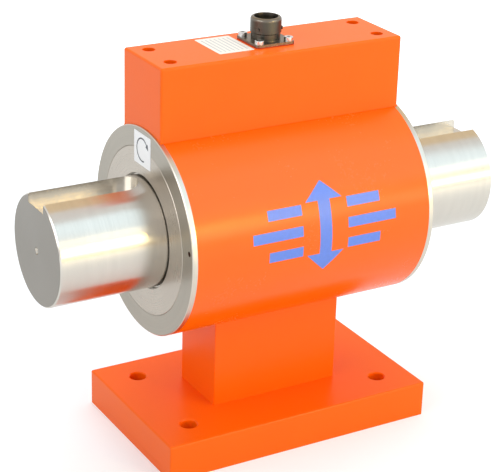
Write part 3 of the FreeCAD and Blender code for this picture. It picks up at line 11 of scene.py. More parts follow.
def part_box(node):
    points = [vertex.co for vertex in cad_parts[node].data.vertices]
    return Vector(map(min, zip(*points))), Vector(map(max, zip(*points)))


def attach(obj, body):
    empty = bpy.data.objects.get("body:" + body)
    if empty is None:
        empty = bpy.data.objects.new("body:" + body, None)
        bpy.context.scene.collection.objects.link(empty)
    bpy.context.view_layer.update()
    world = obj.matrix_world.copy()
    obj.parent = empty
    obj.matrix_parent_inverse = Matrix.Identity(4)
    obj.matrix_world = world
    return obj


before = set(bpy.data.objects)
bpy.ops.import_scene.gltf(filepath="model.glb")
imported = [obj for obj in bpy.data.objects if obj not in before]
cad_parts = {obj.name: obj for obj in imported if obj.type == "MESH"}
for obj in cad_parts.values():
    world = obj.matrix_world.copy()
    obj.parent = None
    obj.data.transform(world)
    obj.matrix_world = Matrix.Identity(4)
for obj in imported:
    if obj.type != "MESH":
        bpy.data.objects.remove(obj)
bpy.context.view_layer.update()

bl_info = {
    "name": "Rotary Torque Sensor",
    "version": (1, 0, 0),
    "blender": (4, 5, 0),
    "location": "View3D > Sidebar > Torque Sensor",
    "description": "Gives a packed rotary torque sensor its finishes, labels, printed mark and studio",
    "category": "Object",
}

# Places read from the frame, in metres
SHAFT_LOW, SHAFT_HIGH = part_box("torsion_shaft")
SHAFT_LINE = (SHAFT_LOW.z + SHAFT_HIGH.z) / 2
SHAFT_END = SHAFT_HIGH.x
SLEEVE_RADIUS = -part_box("housing_sleeve")[0].y
CAP_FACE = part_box("left_end_cap")[0].x
BOX_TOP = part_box("electronics_box")[1].z
SHELL_LOW, SHELL_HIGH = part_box("connector_shell")
SHELL_RIM = SHELL_HIGH.z
PLUG_LINE = (SHELL_LOW + SHELL_HIGH) / 2

MM = 0.001
WHITE = (1.0, 1.0, 1.0)
SENSOR_WIDTH = 36.0

# The gap between a film and what it lies on
HAIR = 0.02 * MM

# Tilts of a flat piece, and turns of one that stands and faces the front
LEVEL = 0.0
UPRIGHT = math.pi / 2
FACING_LEFT = (0.0, 0.0, -math.pi / 2)
FACING_UP = (-math.pi / 2, 0.0, math.pi / 2)


# Kinds of setting

def colour(name, description, default):
    """A colour that a user may change."""
    return FloatVectorProperty(name=name, description=description, default=default, subtype="COLOR",
                               min=0.0, max=1.0)


def length(name, description, millimetres):
    """A length, given in millimetres and kept in metres."""
    return FloatProperty(name=name, description=description, default=millimetres * MM,
                         subtype="DISTANCE", unit="LENGTH")


def place(name, description, millimetres):
    """A point, given in millimetres and kept in metres."""
    return FloatVectorProperty(name=name, description=description, subtype="XYZ", unit="LENGTH",
                               default=[value * MM for value in millimetres])


def angle(name, description, degrees):
    """An angle, given in degrees."""
    return FloatProperty(name=name, description=description, default=math.radians(degrees),
                         subtype="ANGLE", unit="ROTATION")


def share(name, description, default):
    """A number from 0 to 1."""
    return FloatProperty(name=name, description=description, default=default, min=0.0, max=1.0,
                         subtype="FACTOR")


def strength(name, description, default):
    """A brightness, where 1 lights a white card to white."""
    return FloatProperty(name=name, description=description, default=default, min=0.0)


class PaintSettings(bpy.types.PropertyGroup):
    """The housing's paint."""
    orange: colour("Orange", "Colour of the housing's paint", (1.0, 0.138, 0.001))
    gloss: share("Roughness", "Roughness of the paint on the flat faces", 0.34)
    sleeve_gloss: share("Sleeve roughness", "Roughness of the paint on the sleeve", 0.26)
    shine: share("Shine", "How much the flat faces mirror their surroundings", 0.22)
    sleeve_shine: share("Sleeve shine", "How much the sleeve mirrors its surroundings", 0.36)
    peel: length("Orange peel", "Spacing of the paint's orange peel", 1.6)
    ripple: length("Turning marks", "Spacing of the turning marks that show through on the sleeve", 0.9)


class SteelSettings(bpy.types.PropertyGroup):
    """The bare turned steel, tinted warm as a painted reflection of warm surroundings."""
    shaft: colour("Shaft", "Ground steel of the shaft", (0.62, 0.59, 0.54))
    # Painted shade: a darker steel on the shaft's faced ends, for the darker surroundings they mirror
    shaded_shaft_end: colour("Shaft ends", "Faced steel of the shaft's ends", (0.250, 0.230, 0.200))
    # Painted shade: the cap faces get a darker steel than the rims, for the darker surroundings they mirror
    cap: colour("End caps", "Faced steel of the end caps", (0.375, 0.342, 0.290))
    # Painted highlight: the rims get a paler steel, for the lamps they mirror
    rim: colour("Cap rims", "Turned steel round the end caps", (0.64, 0.60, 0.53))
    cover: colour("Covers", "Turned steel of the bearing covers", (0.48, 0.430, 0.370))
    groove: length("Groove pitch", "Spacing of the turning grooves", 0.35)


class LabelSettings(bpy.types.PropertyGroup):
    """The two stuck-on labels."""
    film: colour("Film", "White vinyl film of the rotation label", (0.95, 0.96, 0.98))
    # Painted shade: the data label's film is cream, and darker than the rotation label's film to offset the
    # stronger light on the box top
    data_film: colour("Data film", "Cream vinyl film of the data label", (0.84, 0.81, 0.76))
    ink: colour("Ink", "Dark print of the rotation arrow", (0.045, 0.055, 0.07))
    row_ink: colour("Row ink", "Pale print of the data rows", (0.54, 0.55, 0.56))
    thickness: length("Thickness", "Thickness of the film", 0.12)
    print_thickness: length("Print thickness", "Thickness of the print on the film", 0.04)
    corner: length("Corner", "Corner radius of the film", 0.8)
    turn_width: length("Rotation label width", "Across the end cap", 22.0)
    turn_bottom: length("Rotation label bottom", "Above the shaft line", 42.5)
    turn_top: length("Rotation label top", "Above the shaft line", 63.0)
    arrow_radius: length("Arrow radius", "Middle of the rotation arrow", 7.2)
    arrow_width: length("Arrow width", "Width of the arrow's line", 0.9)
    data_middle: place("Data label", "Middle of the data label on the box", (-27.0, 7.5, 0.0))
    data_length: length("Data label length", "Along the shaft", 24.0)
    data_width: length("Data label width", "Across the shaft", 33.0)
    data_rows: IntProperty(name="Rows", description="Grey rows on the data label", default=7, min=1)


class MarkSettings(bpy.types.PropertyGroup):
    """The torque mark printed on the sleeve."""
    blue: colour("Blue", "Colour of the print", (0.120, 0.240, 0.85))
    middle: length("Middle", "Middle of the mark along the shaft", 6.0)
    lean: angle("Height", "Middle of the mark, down from the top of the sleeve", 81.0)
    half_length: length("Half length", "Middle of the mark to its ends", 51.0)
    bar: length("Bar", "Thickness of the bars", 6.5)
    arrow_reach: length("Arrow reach", "Middle of the mark to the arrow's tips, round the sleeve", 29.0)


class StudioSettings(bpy.types.PropertyGroup):
    """Camera, floor and light."""
    azimuth: angle("Azimuth", "Turn of the camera round the upright", -30.5431)
    elevation: angle("Elevation", "Camera above the level", 22.9727)
    roll: angle("Roll", "Lean of the camera about its line of sight", 1.7385)
    distance: length("Distance", "From the aim point to the camera", 1058.5)
    lens: FloatProperty(name="Lens", description="Focal length for a 36 mm sensor", default=119.06,
                        subtype="DISTANCE_CAMERA")
    aim: place("Aim point", "Point that the camera looks at", (-9.08, 0.0, 127.15))
    floor_size: length("Floor", "Side of the studio floor", 9000.0)
    floor_colour: colour("Floor colour", "Pale floor", (0.715, 0.74, 0.77))
    glow_colour: colour("Glow colour", "Colour of the floor's own glow", (0.94, 0.98, 1.0))
    near_glow: share("Near glow", "Strength of the glow where the floor keeps its shadows", 0.33)
    mirrored_glow: share("Mirrored glow", "Share of the glow that shows in reflections", 0.7)
    shadow_reach: length("Shadow reach", "How far from the middle the floor keeps its shadows", 320.0)
    room: strength("Room light", "Even light from all round", 0.52)


# Nodes of a material or of the world

class Nodes:
    """A tree of nodes in the making."""

    def __init__(self, tree):
        self.tree = tree

    def add(self, kind, sockets=None, **settings):
        """A new node with these settings, and these values for its input sockets."""
        node = self.tree.nodes.new(kind)
        for key, value in settings.items():
            setattr(node, key, value)
        for socket, value in (sockets or {}).items():
            self.feed(node.inputs[socket], value)
        return node

    def feed(self, target, value):
        """Join a socket to another, or give it a plain value or colour."""
        if isinstance(value, bpy.types.NodeSocket):
            self.tree.links.new(value, target)
        elif target.type == "RGBA":
            target.default_value = (*value, 1.0)
        else:
            target.default_value = value

    def calculate(self, kind, *values):
        """The result of one Math node."""
        return self.add("ShaderNodeMath", dict(enumerate(values)), operation=kind).outputs[0]

    def between(self, value, low, high, start=0.0, end=1.0):
        """A value from start to end, turned into one from low to high."""
        return self.add("ShaderNodeMapRange", {"Value": value, "From Min": start, "From Max": end,
                                               "To Min": low, "To Max": high}).outputs[0]

    def in_sight(self, mirrored=1.0):
        """1 to the eye and through glass, this much in reflections, and 0 as a light on the object."""
        path = self.add("ShaderNodeLightPath").outputs
        reflected = self.calculate("MULTIPLY", path["Is Glossy Ray"], mirrored)
        indirect = self.calculate("MAXIMUM", reflected, path["Is Transmission Ray"])
        return self.calculate("MAXIMUM", path["Is Camera Ray"], indirect)


class Finish(Nodes):
    """One material in the making, and the patterns that it may follow."""

    # The least roughness that wear leaves
    smoothest = 0.02

    def __init__(self, name, base, roughness, metallic=0.0):
        self.material = bpy.data.materials.new(name)
        self.material.use_nodes = True
        super().__init__(self.material.node_tree)
        self.shader = self.tree.nodes["Principled BSDF"]
        self.base = base
        self.roughness = roughness
        self.put("Base Color", base)
        self.put("Roughness", roughness)
        self.put("Metallic", metallic)
        self.spot = self.add("ShaderNodeTexCoord").outputs["Object"]

    def put(self, socket, value):
        """Give one of the shader's own sockets a plain value or a pattern."""
        self.feed(self.shader.inputs[socket], value)

    def parts(self):
        """The x, y and z of the spot."""
        return self.add("ShaderNodeSeparateXYZ", {0: self.spot}).outputs

    def noise(self, spacing, detail=3.0, vector=None, roughness=0.5):
        """Soft random patches about this far apart."""
        return self.add("ShaderNodeTexNoise", {"Vector": vector or self.spot, "Scale": 1.0 / spacing,
                                               "Detail": detail, "Roughness": roughness}).outputs["Fac"]

    def grains(self, spacing):
        """Distance to the nearest of many random points."""
        return self.add("ShaderNodeTexVoronoi",
                        {"Vector": self.spot, "Scale": 1.0 / spacing}).outputs["Distance"]

    def waves(self, pitch, value):
        """A sine along a length, from 0 to 1, with this pitch."""
        phase = self.calculate("MULTIPLY", value, 2 * math.pi / pitch)
        return self.calculate("MULTIPLY_ADD", self.calculate("SINE", phase), 0.5, 0.5)

    def past(self, value, start, end):
        """0 up to start, 1 from end on, and a soft edge between them."""
        return self.between(value, 0.0, 1.0, start, end)

    def mixed(self, first, second, share_of_first):
        """Two patterns in one."""
        return self.calculate("ADD", self.calculate("MULTIPLY", first, share_of_first),
                              self.calculate("MULTIPLY", second, 1 - share_of_first))

    def blend(self, share_of_second, first, second):
        """One colour over another."""
        # A Mix node's socket names repeat for each kind of data, so its colours are found by number
        factor, colour_a, colour_b, result = 0, 6, 7, 2
        node = self.add("ShaderNodeMix", {factor: share_of_second, colour_a: first, colour_b: second},
                        data_type="RGBA")
        return node.outputs[result]

    def shades(self, base, pattern, depth):
        """A colour that rises and falls by a share, following a pattern."""
        dark = [channel * (1 - depth) for channel in base]
        light = [min(channel * (1 + depth), 1.0) for channel in base]
        return self.blend(pattern, dark, light)

    def tint(self, pattern, depth):
        """Let the base colour rise and fall by a share, following a pattern."""
        self.put("Base Color", self.shades(self.base, pattern, depth))

    def wear(self, pattern, depth):
        """Let the roughness rise and fall, following a pattern."""
        lowest = max(self.roughness - depth, self.smoothest)
        self.put("Roughness", self.between(pattern, lowest, self.roughness + depth))

    def bump(self, pattern, depth):
        """Raise the surface by a pattern, this deep in metres."""
        self.put("Normal", self.add("ShaderNodeBump", {"Distance": depth, "Height": pattern}).outputs[0])

    def follow(self, pattern, tint, wear, depth):
        """Let colour, roughness and height all follow one pattern."""
        self.tint(pattern, tint)
        self.wear(pattern, wear)
        self.bump(pattern, depth)

    def round_line(self, along, across, up):
        """Place along a line, distance from it and angle round it, from three straight coordinates."""
        squares = self.calculate("MULTIPLY_ADD", across, across, self.calculate("MULTIPLY", up, up))
        return along, self.calculate("SQRT", squares), self.calculate("ARCTAN2", across, up)

    def round_shaft(self):
        """The same, about the shaft's middle line."""
        x, y, z = self.parts()
        return self.round_line(x, y, self.calculate("SUBTRACT", z, SHAFT_LINE))

    def round_plug(self):
        """The same, about the connector's upright middle line."""
        x, y, z = self.parts()
        return self.round_line(z, self.calculate("SUBTRACT", x, PLUG_LINE.x),
                               self.calculate("SUBTRACT", y, PLUG_LINE.y))

    def drawn_round(self, along, radius, turn, stretch):
        """A vector whose patterns run round a line; a radian counts as this many metres."""
        return self.add("ShaderNodeCombineXYZ", {"X": along, "Y": radius,
                                                 "Z": self.calculate("MULTIPLY", turn, stretch)}).outputs[0]

    def dress(self, *nodes):
        """Give the finish to these CAD nodes."""
        for name in nodes:
            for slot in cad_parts[name].material_slots:
                slot.material = self.material


# Families of finish

class TurnedMetal(Finish):
    """Metal turned on a lathe: fine uneven grooves that run round, and long glints across them."""

    # How far the grooves shade the colour, and the turn that lays the glints across them
    contrast = 0.18
    quarter_turn = 0.25

    def __init__(self, name, base, roughness, groove, depth=0.004 * MM, axis="X", glint=0.55):
        super().__init__(name, base, roughness, metallic=1.0)
        self.along, self.radius, turn = self.round_shaft() if axis == "X" else self.round_plug()
        lathe = self.drawn_round(self.along, self.radius, turn, stretch=0.6 * MM)
        cuts = self.noise(groove, detail=5.0, vector=lathe, roughness=0.62)
        broad_bands = self.noise(spacing=14 * groove, detail=2.0, vector=lathe)
        handling = self.noise(spacing=28 * MM, detail=4.0)
        self.grooves = self.mixed(cuts, broad_bands, share_of_first=0.70)
        self.shade = self.shades(base, self.grooves, self.contrast)
        self.put("Base Color", self.shade)
        self.wear(self.mixed(self.grooves, handling, share_of_first=0.6), depth=0.08)
        self.bump(cuts, depth)
        self.put("Anisotropic", glint)
        self.put("Anisotropic Rotation", self.quarter_turn)
        self.put("Tangent", self.add("ShaderNodeTangent", direction_type="RADIAL", axis=axis).outputs[0])

    def recolour(self, second, where):
        """Give a second colour, with the same grooves, to the places that are marked with 1."""
        second_shade = self.shades(second, self.grooves, self.contrast)
        self.put("Base Color", self.blend(where, self.shade, second_shade))


def formed_metal(name, base, roughness, grain):
    """Stamped, drawn or plated metal: cloudy plating and a fine grain."""
    finish = Finish(name, base, roughness, metallic=1.0)
    clouds = finish.noise(spacing=9 * grain)
    finish.tint(clouds, depth=0.14)
    finish.wear(clouds, depth=0.09)
    finish.bump(finish.noise(grain, detail=4.0), depth=0.003 * MM)
    return finish


def moulded(name, base, roughness, grain):
    """Moulded plastic or rubber: an even skin with a fine grain and slight flow clouds."""
    finish = Finish(name, base, roughness)
    finish.tint(finish.noise(spacing=16 * grain), depth=0.12)
    finish.wear(finish.noise(spacing=5 * grain), depth=0.06)
    finish.bump(finish.grains(grain), depth=0.01 * MM)
    return finish


class Paint(Finish):
    """Satin paint with faint clouds, and the pattern of its orange peel for the relief."""

    # Depth of the relief, and how many times that deep the peel and the turning marks are
    relief = 0.03 * MM
    peel_height = 0.6
    marks_height = 1.1

    def __init__(self, name, paint, gloss, shine):
        super().__init__(name, paint.orange, gloss)
        clouds = self.noise(spacing=34 * MM, detail=4.0)
        peel = self.noise(paint.peel, detail=2.0)
        self.tint(clouds, depth=0.045)
        self.wear(self.mixed(peel, clouds, share_of_first=0.4), depth=0.06)
        self.put("Specular IOR Level", shine)
        self.peel = self.calculate("MULTIPLY", peel, self.peel_height)


# Single finishes

def housing_paint(paint):
    """Paint on the flat faces, with orange peel."""
    finish = Paint("housing_paint", paint, paint.gloss, paint.shine)
    finish.bump(finish.peel, finish.relief)
    return finish


def sleeve_paint(paint):
    """Paint on the sleeve, where the turning marks under it show through."""
    finish = Paint("sleeve_paint", paint, paint.sleeve_gloss, paint.sleeve_shine)
    lathe = finish.drawn_round(*finish.round_shaft(), stretch=1.5 * MM)
    marks = finish.noise(paint.ripple, vector=lathe, roughness=0.6)
    height = finish.calculate("MULTIPLY_ADD", marks, finish.marks_height, finish.peel)
    finish.bump(height, finish.relief)
    return finish


def shaft_steel(steel):
    """Ground steel, with a darker colour on the two faced ends as painted shade."""
    finish = TurnedMetal("shaft_steel", steel.shaft, 0.24, steel.groove)
    out = finish.calculate("ABSOLUTE", finish.along)
    # Painted shade on the two end faces
    ends = finish.past(out, start=SHAFT_END - 0.3 * MM, end=SHAFT_END - 0.1 * MM)
    finish.recolour(steel.shaded_shaft_end, ends)
    return finish


def cap_steel(steel):
    """Faced steel darkened as painted shade, with a paler turned rim as a painted highlight."""
    finish = TurnedMetal("cap_steel", steel.cap, 0.30, steel.groove)
    # Painted highlight: the paler colour on the rim
    rim = finish.past(finish.radius, start=SLEEVE_RADIUS - 0.6 * MM, end=SLEEVE_RADIUS - 0.3 * MM)
    finish.recolour(steel.rim, rim)
    return finish


def connector_black():
    """Black plating, with a paler grey on the flange and at the barrel's rim as a painted highlight."""
    # Painted highlight: a paler grey on the flange and the rim, where they face the light
    painted_highlight = (0.205, 0.180, 0.150)
    finish = TurnedMetal("connector_black", base=(0.092, 0.085, 0.070), roughness=0.34, groove=0.3 * MM,
                         axis="Z", glint=0.4)
    flange = finish.between(finish.along, 1.0, 0.0, start=BOX_TOP + 2.3 * MM, end=BOX_TOP + 2.8 * MM)
    rim = finish.past(finish.along, start=SHELL_RIM - 2.2 * MM, end=SHELL_RIM - 1.0 * MM)
    finish.recolour(painted_highlight, finish.calculate("MAXIMUM", flange, rim))
    return finish


def core_iron():
    """Iron plates in a stack along the shaft."""
    finish = Finish("core_iron", base=(0.20, 0.20, 0.21), roughness=0.42, metallic=1.0)
    plates = finish.waves(pitch=0.5 * MM, value=finish.parts()["X"])
    finish.follow(plates, tint=0.30, wear=0.10, depth=0.03 * MM)
    return finish


def winding_copper():
    """Enamelled wire in rows along the shaft and out from it."""
    wire = 0.45 * MM
    finish = Finish("winding_copper", base=(0.62, 0.23, 0.08), roughness=0.26, metallic=1.0)
    along, radius = finish.round_shaft()[:2]
    rows = finish.calculate("MAXIMUM", finish.waves(wire, along), finish.waves(wire, radius))
    finish.follow(rows, tint=0.28, wear=0.10, depth=0.10 * MM)
    finish.put("Coat Weight", 0.5)
    return finish


def gauge_film():
    """Amber film with grey foil lines on it."""
    grey = (0.36, 0.31, 0.24)
    finish = Finish("gauge_film", base=(0.58, 0.30, 0.06), roughness=0.30)
    foil = finish.waves(pitch=0.8 * MM, value=finish.parts()["X"])
    lines = finish.past(foil, start=0.45, end=0.55)
    finish.put("Base Color", finish.blend(lines, finish.base, grey))
    finish.wear(foil, depth=0.08)
    finish.bump(foil, depth=0.02 * MM)
    return finish


def board_laminate():
    """Green laminate with paler raised tracks."""
    pale_green = (0.03, 0.24, 0.09)
    spacing = 9 * MM
    finish = Finish("board_laminate", base=(0.012, 0.12, 0.045), roughness=0.34)
    tracks = finish.add("ShaderNodeTexBrick", {"Vector": finish.spot, "Scale": 1.0 / spacing,
                                               "Mortar Size": 0.03}).outputs["Fac"]
    finish.put("Base Color", finish.blend(tracks, finish.base, pale_green))
    finish.wear(finish.noise(spacing=3 * MM), depth=0.08)
    finish.bump(tracks, depth=0.03 * MM)
    return finish


def pickup_brass():
    """Pale plated brass with a thread up its height."""
    finish = Finish("pickup_brass", base=(0.72, 0.66, 0.52), roughness=0.26, metallic=1.0)
    thread = finish.waves(pitch=0.75 * MM, value=finish.parts()["Z"])
    finish.follow(thread, tint=0.20, wear=0.08, depth=0.25 * MM)
    return finish


def film_material(name, base):
    """Vinyl film with a faint grain."""
    finish = Finish(name, base, roughness=0.42)
    finish.tint(finish.noise(spacing=6 * MM), depth=0.03)
    finish.wear(finish.noise(spacing=1.5 * MM), depth=0.08)
    finish.bump(finish.noise(spacing=0.4 * MM), depth=0.004 * MM)
    return finish.material


def ink_material(name, base):
    """Screen-printed ink, a little uneven in its cover."""
    finish = Finish(name, base, roughness=0.38)
    finish.tint(finish.noise(spacing=2.2 * MM, detail=4.0), depth=0.10)
    finish.wear(finish.noise(spacing=0.8 * MM), depth=0.07)
    finish.bump(finish.noise(spacing=0.5 * MM), depth=0.003 * MM)
    return finish.material


# Modelling by hand

def deselect():
    """Let go of everything."""
    bpy.ops.object.select_all(action="DESELECT")


def choose(*pieces):
    """Select these pieces alone, the last one active."""
    deselect()
    for piece in pieces:
        piece.select_set(True)
    bpy.context.view_layer.objects.active = pieces[-1]


@contextmanager
def editing(piece):
    """Edit mode on one piece, with all of it selected."""
    choose(piece)
    bpy.ops.object.mode_set(mode="EDIT")
    bpy.ops.mesh.select_all(action="SELECT")
    yield
    bpy.ops.object.mode_set(mode="OBJECT")


def select_edges(piece, wanted):
    """In edit mode, select only the edges whose middle passes a test."""
    bpy.ops.mesh.select_all(action="DESELECT")
    bpy.ops.mesh.select_mode(type="EDGE")
    mesh = bmesh.from_edit_mesh(piece.data)
    for edge in mesh.edges:
        if wanted((edge.verts[0].co + edge.verts[1].co) / 2):
            edge.select_set(True)
    bmesh.update_edit_mesh(piece.data)


def settle(piece):
    """Put a piece's place, turn and size into its mesh."""
    choose(piece)
    bpy.ops.object.transform_apply(location=True, rotation=True, scale=True)


def put_in_place(piece, turn, move):
    """Turn a piece about the origin, move it and settle it."""
    piece.rotation_euler = turn
    piece.location = move
    settle(piece)


def apply_modifier(piece, kind, **settings):
    """Add a modifier and apply it."""
    choose(piece)
    modifier = piece.modifiers.new(kind.title(), kind)
    for key, value in settings.items():
        setattr(modifier, key, value)
    bpy.ops.object.modifier_apply(modifier=modifier.name)


def extent(piece, axis):
    """The lowest and highest place in a piece's mesh along x, y or z."""
    places = [getattr(vertex.co, axis) for vertex in piece.data.vertices]
    return min(places), max(places)


def rectangle(name, width, height, middle=(0.0, 0.0, 0.0), tilt=UPRIGHT):
    """A flat rectangle. Upright, it stands in the XZ plane and faces the front."""
    deselect()
    bpy.ops.mesh.primitive_plane_add(size=1.0, location=middle, rotation=(tilt, 0.0, 0.0))
    piece = bpy.context.object
    piece.name = name
    piece.scale = (width, height, 1.0)
    settle(piece)
    return piece


def arrow_head(width, height, tip_angle, foot):
    """A flat triangle in the XZ plane, from the middle of its base to a tip at an angle from +Z."""
    deselect()
    bpy.ops.mesh.primitive_circle_add(vertices=3, radius=1.0, fill_type="NGON", location=(0.0, 0.0, 0.0),
                                      rotation=(UPRIGHT, 0.0, 0.0))
    piece = bpy.context.object
    settle(piece)
    left, right = extent(piece, "x")
    bottom, top = extent(piece, "z")
    piece.scale = (width / (right - left), 1.0, height / (top - bottom))
    settle(piece)
    piece.location = (0.0, 0.0, -extent(piece, "z")[0])
    settle(piece)
    put_in_place(piece, (0.0, tip_angle, 0.0), foot)
    return piece


def joined(name, pieces):
    """Several pieces as one."""
    choose(*pieces)
    bpy.ops.object.join()
    piece = bpy.context.object
    piece.name = name
    return piece


def thicken(piece, thickness):
    """Give a flat piece a thickness towards the side that it faces."""
    apply_modifier(piece, "SOLIDIFY", thickness=thickness, offset=1.0)


def label_film(name, width, height, labels):
    """A label's film, upright, with round corners."""
    film = rectangle(name, width, height)
    with editing(film):
        bpy.ops.mesh.bevel(offset=labels.corner, segments=5, affect="VERTICES")
    thicken(film, labels.thickness)
    return film


def finish_piece(piece, material):
    """Give a new piece its material, and let it ride on the housing."""
    piece.data.materials.clear()
    piece.data.materials.append(material)
    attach(piece, "housing")


# One operator for each group of like pieces

class TORQUE_OT_paint_housing(bpy.types.Operator):
    """Paint the base plate, pedestal, sleeve and electronics box, and the seam under the box"""
    bl_idname = "torque.paint_housing"
    bl_label = "Paint the housing"

    def execute(self, context):
        paint = context.scene.torque_paint
        housing_paint(paint).dress("base_plate", "pedestal", "electronics_box", "box_gasket")
        sleeve_paint(paint).dress("housing_sleeve")
        return {"FINISHED"}


class TORQUE_OT_turn_steel(bpy.types.Operator):
    """Finish the shaft, end caps and covers as bare turned steel"""
    bl_idname = "torque.turn_steel"
    bl_label = "Finish the bare steel"

    def execute(self, context):
        steel = context.scene.torque_steel
        shaft_steel(steel).dress("torsion_shaft")
        cap_steel(steel).dress("left_end_cap", "right_end_cap")
        TurnedMetal("cover_steel", steel.cover, 0.28, steel.groove).dress("left_cover", "right_cover")
        return {"FINISHED"}


class TORQUE_OT_finish_bearings(bpy.types.Operator):
    """Finish the bearings, the spring, the circlips and the rubber and silicone seals"""
    bl_idname = "torque.finish_bearings"
    bl_label = "Finish the bearings"

    def execute(self, context):
        rolling = [f"{side}_{part}" for side in ("left", "right")
                   for part in ("outer_ring", "inner_ring", "balls")]
        TurnedMetal("bearing_steel", base=(0.60, 0.60, 0.61), roughness=0.12, groove=0.15 * MM,
                    depth=0.001 * MM).dress(*rolling)
        TurnedMetal("cage_brass", base=(0.78, 0.55, 0.22), roughness=0.28, groove=0.3 * MM).dress(
            "left_cage", "right_cage")
        formed_metal("spring_steel", base=(0.16, 0.15, 0.16), roughness=0.33, grain=0.5 * MM).dress(
            "preload_spring", "bearing_circlips", "core_circlips")
        moulded("seal_rubber", base=(0.018, 0.017, 0.017), roughness=0.62, grain=0.35 * MM).dress(
            "cap_seal_rings", "lead_grommets")
        # The connector gasket is red silicone, coloured dark as painted shade under the flange
        moulded("gasket_silicone", base=(0.42, 0.022, 0.006), roughness=0.50, grain=0.3 * MM).dress(
            "connector_gasket")
        return {"FINISHED"}


class TORQUE_OT_finish_transformers(bpy.types.Operator):
    """Finish the cores, windings, spacers, speed wheel and strain gauges"""
    bl_idname = "torque.finish_transformers"
    bl_label = "Finish the transformers"

    def execute(self, context):
        halves = [f"{kind}_{half}" for kind in ("energy", "signal") for half in ("rotor", "stator")]
        core_iron().dress(*[f"{half}_core" for half in halves])
        winding_copper().dress(*[f"{half}_winding" for half in halves])
        TurnedMetal("spacer_aluminium", base=(0.74, 0.75, 0.76), roughness=0.30, groove=0.4 * MM).dress(
            "left_spacer", "middle_spacer", "right_spacer", "rotor_board_spacers")
        TurnedMetal("wheel_steel", base=(0.42, 0.42, 0.43), roughness=0.34, groove=0.5 * MM).dress(
            "speed_wheel")
        gauge_film().dress("strain_gauges")
        return {"FINISHED"}


class TORQUE_OT_finish_electronics(bpy.types.Operator):
    """Finish the boards with their parts, the speed pickup and the leads"""
    bl_idname = "torque.finish_electronics"
    bl_label = "Finish the electronics"

    def execute(self, context):
        board_laminate().dress("circuit_board", "rotor_boards")
        moulded("chip_plastic", base=(0.015, 0.015, 0.016), roughness=0.48, grain=0.15 * MM).dress(
            "board_chips")
        formed_metal("can_aluminium", base=(0.70, 0.71, 0.72), roughness=0.28, grain=0.3 * MM).dress(
            "board_capacitors")
        pickup_brass().dress("speed_pickup")
        moulded("lead_insulation", base=(0.55, 0.03, 0.025), roughness=0.40, grain=0.3 * MM).dress(
            "stator_leads", "pickup_lead", "connector_leads", "rotor_leads", "gauge_leads")
        return {"FINISHED"}


class TORQUE_OT_finish_fasteners(bpy.types.Operator):
    """Finish the black socket screws and the zinc-plated small screws"""
    bl_idname = "torque.finish_fasteners"
    bl_label = "Finish the fasteners"

    def execute(self, context):
        formed_metal("black_steel", base=(0.045, 0.043, 0.042), roughness=0.38, grain=0.3 * MM).dress(
            "base_screws", "pedestal_screws", "box_screws")
        formed_metal("zinc_steel", base=(0.72, 0.73, 0.74), roughness=0.24, grain=0.4 * MM).dress(
            "board_screws", "board_standoffs", "rotor_board_screws", "connector_screws", "pickup_nut")
        return {"FINISHED"}


class TORQUE_OT_finish_connector(bpy.types.Operator):
    """Finish the connector's shell, insert and pins"""
    bl_idname = "torque.finish_connector"
    bl_label = "Finish the connector"

    def execute(self, context):
        connector_black().dress("connector_shell")
        moulded("insert_plastic", base=(0.02, 0.02, 0.022), roughness=0.44, grain=0.2 * MM).dress(
            "connector_insert")
        formed_metal("pin_gold", base=(0.90, 0.66, 0.26), roughness=0.20, grain=0.2 * MM).dress(
            "connector_pins")
        return {"FINISHED"}


class TORQUE_OT_add_rotation_label(bpy.types.Operator):
    """Stick the rotation label on the left end cap and print its arrow"""
    bl_idname = "torque.add_rotation_label"
    bl_label = "Add the rotation label"

    def execute(self, context):
        labels = context.scene.torque_labels
        height = labels.turn_top - labels.turn_bottom
        middle = Vector((CAP_FACE - HAIR, 0.0, SHAFT_LINE + (labels.turn_top + labels.turn_bottom) / 2))
        film = label_film("rotation_label", labels.turn_width, height, labels)
        put_in_place(film, FACING_LEFT, middle)
        finish_piece(film, film_material("label_film", labels.film))
        arrow = self.arrow(labels)
        thicken(arrow, labels.print_thickness)
        put_in_place(arrow, FACING_LEFT, middle - Vector((labels.thickness + HAIR, 0.0, 0.0)))
        finish_piece(arrow, ink_material("label_ink", labels.ink))
        return {"FINISHED"}

    def arrow(self, labels):
        """An open ring with a head at one end, clockwise as seen from the left."""
        start, sweep = math.radians(-72), math.radians(250)
        steps = 40
        radius, width = labels.arrow_radius, labels.arrow_width
        head_width, head_height = 3.8 * width, 4.0 * width
        ring = rectangle("turn_arrow", width, HAIR, (radius, 0.0, 0.0))
        with editing(ring):
            select_edges(ring, lambda middle: middle.z < 0)
            bpy.ops.mesh.spin(steps=steps, angle=-sweep, center=(0.0, 0.0, 0.0), axis=(0.0, 1.0, 0.0))
        ring.rotation_euler = (0.0, -start, 0.0)
        settle(ring)
        end = start - sweep
        foot = (radius * math.cos(end), 0.0, radius * math.sin(end))
        head = arrow_head(head_width, head_height, math.pi - end, foot)
        return joined("rotation_arrow", [head, ring])


